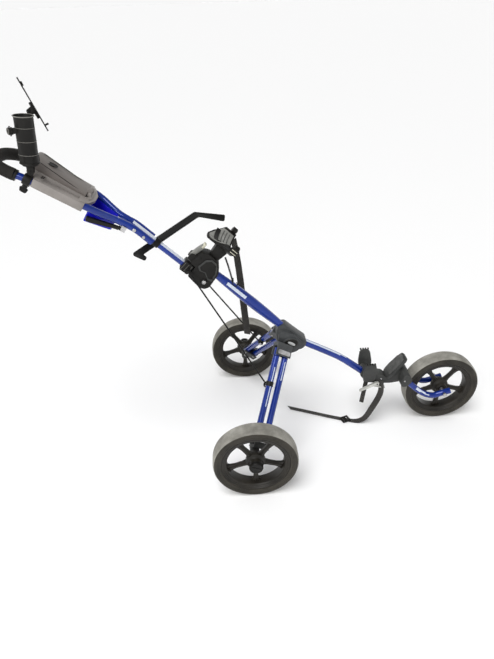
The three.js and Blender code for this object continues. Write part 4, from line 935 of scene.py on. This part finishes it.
def scorecard_details():
    clip = block("scorecard_clip", (0.046, 0.040, 0.0075), (0.002, 0, 0.0150), 0.0024, 3)
    added(clip, BLACK, "scorecard_plate", SCORE_FRAME)
    jaw = block("scorecard_jaw", (0.012, 0.070, 0.0035), (-0.070, 0, 0.0235), 0.0012)
    added(jaw, BLACK, "scorecard_plate", SCORE_FRAME)
    pencil = ring("pencil_ring", 0.0048, 0.0011, (0.048, 0, 0.0265), "X", 24, 8)
    added_copies(pencil, [shift(0, y, 0) for y in (-0.022, 0.022)], BLACK, "scorecard_plate", SCORE_FRAME)


def block_details():
    cover = [(-0.397, -0.008), (-0.392, 0.026), (-0.376, 0.041), (-0.356, 0.040), (-0.342, 0.028), (-0.330, 0.008),
             (-0.326, -0.022), (-0.340, -0.026), (-0.364, -0.012), (-0.384, -0.018)]
    for name, side in SIDES:
        face = fixed(plate(f"block_cover_{name}", cover, 0.0036, 0.0009), shift(0, side * 0.0252, 0))
        added(face, BLACK, "upper_block", TUBE_FRAME)
        face_rib = frame_strip(f"block_rib_{name}", cover, 0.82, 0.0012, side * 0.0274)
        added(face_rib, BRACKET_GREY, "upper_block", TUBE_FRAME)
        seat = ring(f"bolt_seat_{name}", 0.0112, 0.0016, (-0.344, side * 0.0242, INNER_DROP), "Y", 36, 8)
        added(seat, BLACK, "upper_block", TUBE_FRAME)
        screw = disc(f"block_screw_{name}", 0.0027, 0.0016, (0, 0, 0), "Y", 16, 0.0004)
        screw_seats = ((-0.408, 0.0244, 0.020), (-0.352, 0.0282, 0.030), (-0.332, 0.0282, -0.012))
        added_copies(screw, [shift(x, side * y, z) for x, y, z in screw_seats], BLACK_METAL, "upper_block",
                     TUBE_FRAME)
        line = block(f"collar_line_{name}", (0.0009, 0.0008, 0.030), (0, side * 0.0202, INNER_DROP))
        added_copies(line, [shift(x, 0, 0) for x in (-0.434, -0.421, -0.408)], PLAIN_LINE, "slide_collar", TUBE_FRAME)
        latch_ring = ring(f"latch_ring_{name}", 0.0072, 0.0014, (-0.432, side * 0.0094, 0), "Y", 28, 8)
        added(latch_ring, PLAIN_LINE, "latch_lever", TUBE_FRAME)
    tip = block("latch_tip", (0.0095, 0.0205, 0.019), (-0.4238, 0, 0.0545), 0.0028, 3)
    added(tip, CREAM, "latch_lever", TUBE_FRAME)
    ridge = block("latch_grip", (0.0014, 0.016, 0.0022), (-0.4340, 0, 0.022), 0.0005)
    added_copies(ridge, [shift(0, 0, index * 0.006) for index in range(3)], PAD, "latch_lever", TUBE_FRAME)


def arc_strip(name, radius, span, reach, thickness):
    """A band bent round the cradle's own centre, reach degrees to either side."""
    bpy.ops.mesh.primitive_grid_add(x_subdivisions=28, y_subdivisions=2, size=1)
    piece = fixed(bpy.context.object)
    piece.name = name
    for vertex in piece.data.vertices:
        angle = math.radians(2 * reach * vertex.co.x)
        along = span[0] + (span[1] - span[0]) * (vertex.co.y + 0.5)
        vertex.co = (along, radius * math.sin(angle), CRADLE_CENTRE - radius * math.cos(angle))
    modified(piece, "SOLIDIFY", thickness=thickness, offset=0)
    return outward(piece)


def cradle_details():
    added(arc_strip("cradle_strip", 0.0886, (-0.418, -0.402), 36, 0.0018), BLACK, "cradle_pad", TUBE_FRAME)
    added(arc_strip("cradle_foot_lip", 0.0935, (-0.352, -0.3455), 52, 0.0065), BLACK, "bag_cradle", TUBE_FRAME)
    rib = arc_strip("pad_rib", 0.0892, (-0.0012, 0.0012), 42, 0.0012)
    added_copies(rib, [shift(x, 0, 0) for x in (-0.366, -0.378, -0.390)], STIPPLE, "cradle_pad", TUBE_FRAME)
    for name, side in SIDES:
        eye = (-0.351, side * 0.0793, 0.1384)
        added(ring(f"ear_eyelet_{name}", 0.0072, 0.0018, eye, "X", 28, 8), PLAIN_LINE, "bag_cradle", TUBE_FRAME)
        # painted shade: a black disc fills the eyelet's hole, where there is only shade
        added(disc(f"ear_hole_{name}", 0.0052, 0.0016, eye, "X", 24), BLACK_METAL, "bag_cradle", TUBE_FRAME)
    buckle_block = block("cradle_buckle", (0.030, 0.010, 0.024), (-0.362, -0.0895, 0.1290), 0.0024)
    added(buckle_block, BLACK, "bag_cradle", TUBE_FRAME)
    line = block("buckle_line", (0.022, 0.0012, 0.0022), (-0.362, -0.0950, 0.1235), 0.0004)
    added_copies(line, [shift(0, 0, z) for z in (0, 0.0100)], CREAM, "bag_cradle", TUBE_FRAME)


def hub_details():
    for name, side in SIDES:
        face = side * 0.0412
        cap = fixed(plate(f"hub_cap_{name}", ellipse(0.158, 0.419, 0.050, 0.035), 0.0022, 0.0008), shift(0, face, 0))
        added(cap, BLACK, "hub_body", CART_FRAME)
        cap_rim = frame_strip(f"hub_cap_rim_{name}", ellipse(0.158, 0.419, 0.055, 0.039), 0.9, 0.0022, face)
        added(cap_rim, BRACKET_GREY, "hub_body", CART_FRAME)
        badge = fixed(plate(f"hub_badge_{name}", ellipse(0, 0, 0.031, 0.012), 0.0010, 0.0003), turn(30, "Y"))
        added(fixed(badge, shift(0.160, side * 0.0427, 0.418)), BADGE, "hub_body", CART_FRAME)
        route = [(0.118, side * 0.0212, 0.474), (0.150, side * 0.0216, 0.469), (0.188, side * 0.0216, 0.431),
                 (0.213, side * 0.0212, 0.408)]
        added(round_bar(f"hub_crease_{name}", through(route, 6), 0.0016, sides=3), HUB_GREY, "hub_body", CART_FRAME)


def stop_details():
    stand = Matrix.Translation(at(0.544, 0, 0.214)) @ turn(-52, "Y")
    half = [(0.020, 0.026), (0.045, 0.0275), (0.085, 0.027), (0.102, 0.020), (0.108, 0.0)]
    outline = [(x, -z) for x, z in half] + half[-2::-1]
    pad = plate("stop_pad", outline, 0.0028, 0.0012)
    added(pad, STIPPLE, "stop_plate", stand @ shift(0, 0, 0.0072) @ turn(90, "X"))
    pad_rim = frame_strip("stop_pad_rim", outline, 1 / 1.1, 0.0030, 0)
    added(pad_rim, BRACKET_GREY, "stop_plate", stand @ shift(0, 0, 0.0066) @ turn(90, "X"))


def bracket_details():
    for name, side in SIDES:
        lean = Matrix.Translation(at(0, side * 0.027, 0.206)) @ turn(-13 * side, "X")
        tooth = block(f"wing_tooth_{name}", (0.0055, 0.0075, 0.007), (0.450, side * 0.003, 0.1065), 0.0012)
        added_copies(tooth, [lean @ shift(index * 0.0098, 0, 0) for index in range(4)], BLACK, f"lower_wing_{name}")
        rib = block(f"wing_rib_{name}", (0.030, 0.0016, 0.0028), (0.466, -side * 0.0008, 0.045), 0.0006)
        added_copies(rib, [lean @ shift(0, 0, index * 0.010) for index in range(5)], BRACKET_GREY,
                     f"lower_wing_{name}")
    for index, (place, sides) in enumerate((((0.470, -0.0235, 0.216), 20), ((0.520, -0.0235, 0.214), 20),
                                            ((0.602, -0.0628, 0.226), 6))):
        added(disc(f"bracket_screw_{index}", 0.0036, 0.0024, at(*place), "Y", sides, 0.0005), STEEL, "lower_bracket")
    latch_plate = block("latch_plate", (0.050, 0.020, 0.0035), (0, 0, 0), 0.0012)
    added(latch_plate, SILVER, "lower_bracket", Matrix.Translation(at(0.512, -0.030, 0.186)) @ turn(14, "Y"))


def fork_details():
    for name, side in SIDES:
        nut = disc(f"fork_nut_{name}", 0.0088, 0.0052, at(WHEELBASE, side * 0.0662, WHEEL_RADIUS), "Y", 6, 0.0008)
        added(nut, STEEL, "front_axle")
        line = [at(x, side * 0.048, z) for x, z in ((0.652, 0.181), (0.672, 0.164), (0.692, 0.1488), (0.710, 0.1405))]
        painted_line(f"fork_band_{name}", line, 0.012, (0.35, side, 0.35), 0.95, PRINT_AND_HIGHLIGHT, f"fork_arm_{name}")


def console_details():
    lid = HANDLE_FRAME @ shift(-0.300, 0, 0.0475) @ turn(-5, "Y") @ turn(90, "X")
    added(frame_strip("lid_recess_rim", ellipse(0, 0, 0.040, 0.026), 0.78, 0.0016, 0), BLACK, "console_lid", lid)
    recess = HANDLE_FRAME @ shift(-0.300, 0, 0.0472) @ turn(-5, "Y") @ turn(90, "X")
    added(plate("lid_recess", ellipse(0, 0, 0.031, 0.020), 0.0010), BLACK, "console_lid", recess)
    for name, side in SIDES:
        # painted shade: a thin black line along each side of the lid stands for the shade in the open slot between
        # lid and rail
        line = [Vector((x, side * 0.0405, z)) for x, z in ((-0.178, 0.0300), (-0.230, 0.0372), (-0.335, 0.0512))]
        added(round_bar(f"lid_seam_{name}", line, 0.0009, sides=3), BLACK, "console_lid", HANDLE_FRAME)
    catch = block("lid_catch", (0.007, 0.026, 0.009), (-0.3535, 0, 0.034), 0.0015)
    added(catch, BLACK, "console_lid", HANDLE_FRAME)
    socket = ring("tee_socket", 0.0042, 0.0009, (-0.300, 0, 0.0205), "Z", 20, 6)
    added_copies(socket, [shift(index * 0.0001, y, 0) for index, y in enumerate((-0.066, -0.055, 0.055, 0.066))],
                 BLACK, "console_body", HANDLE_FRAME)


tube_lines()
umbrella_details()
scorecard_details()
block_details()
cradle_details()
hub_details()
stop_details()
bracket_details()
fork_details()
console_details()
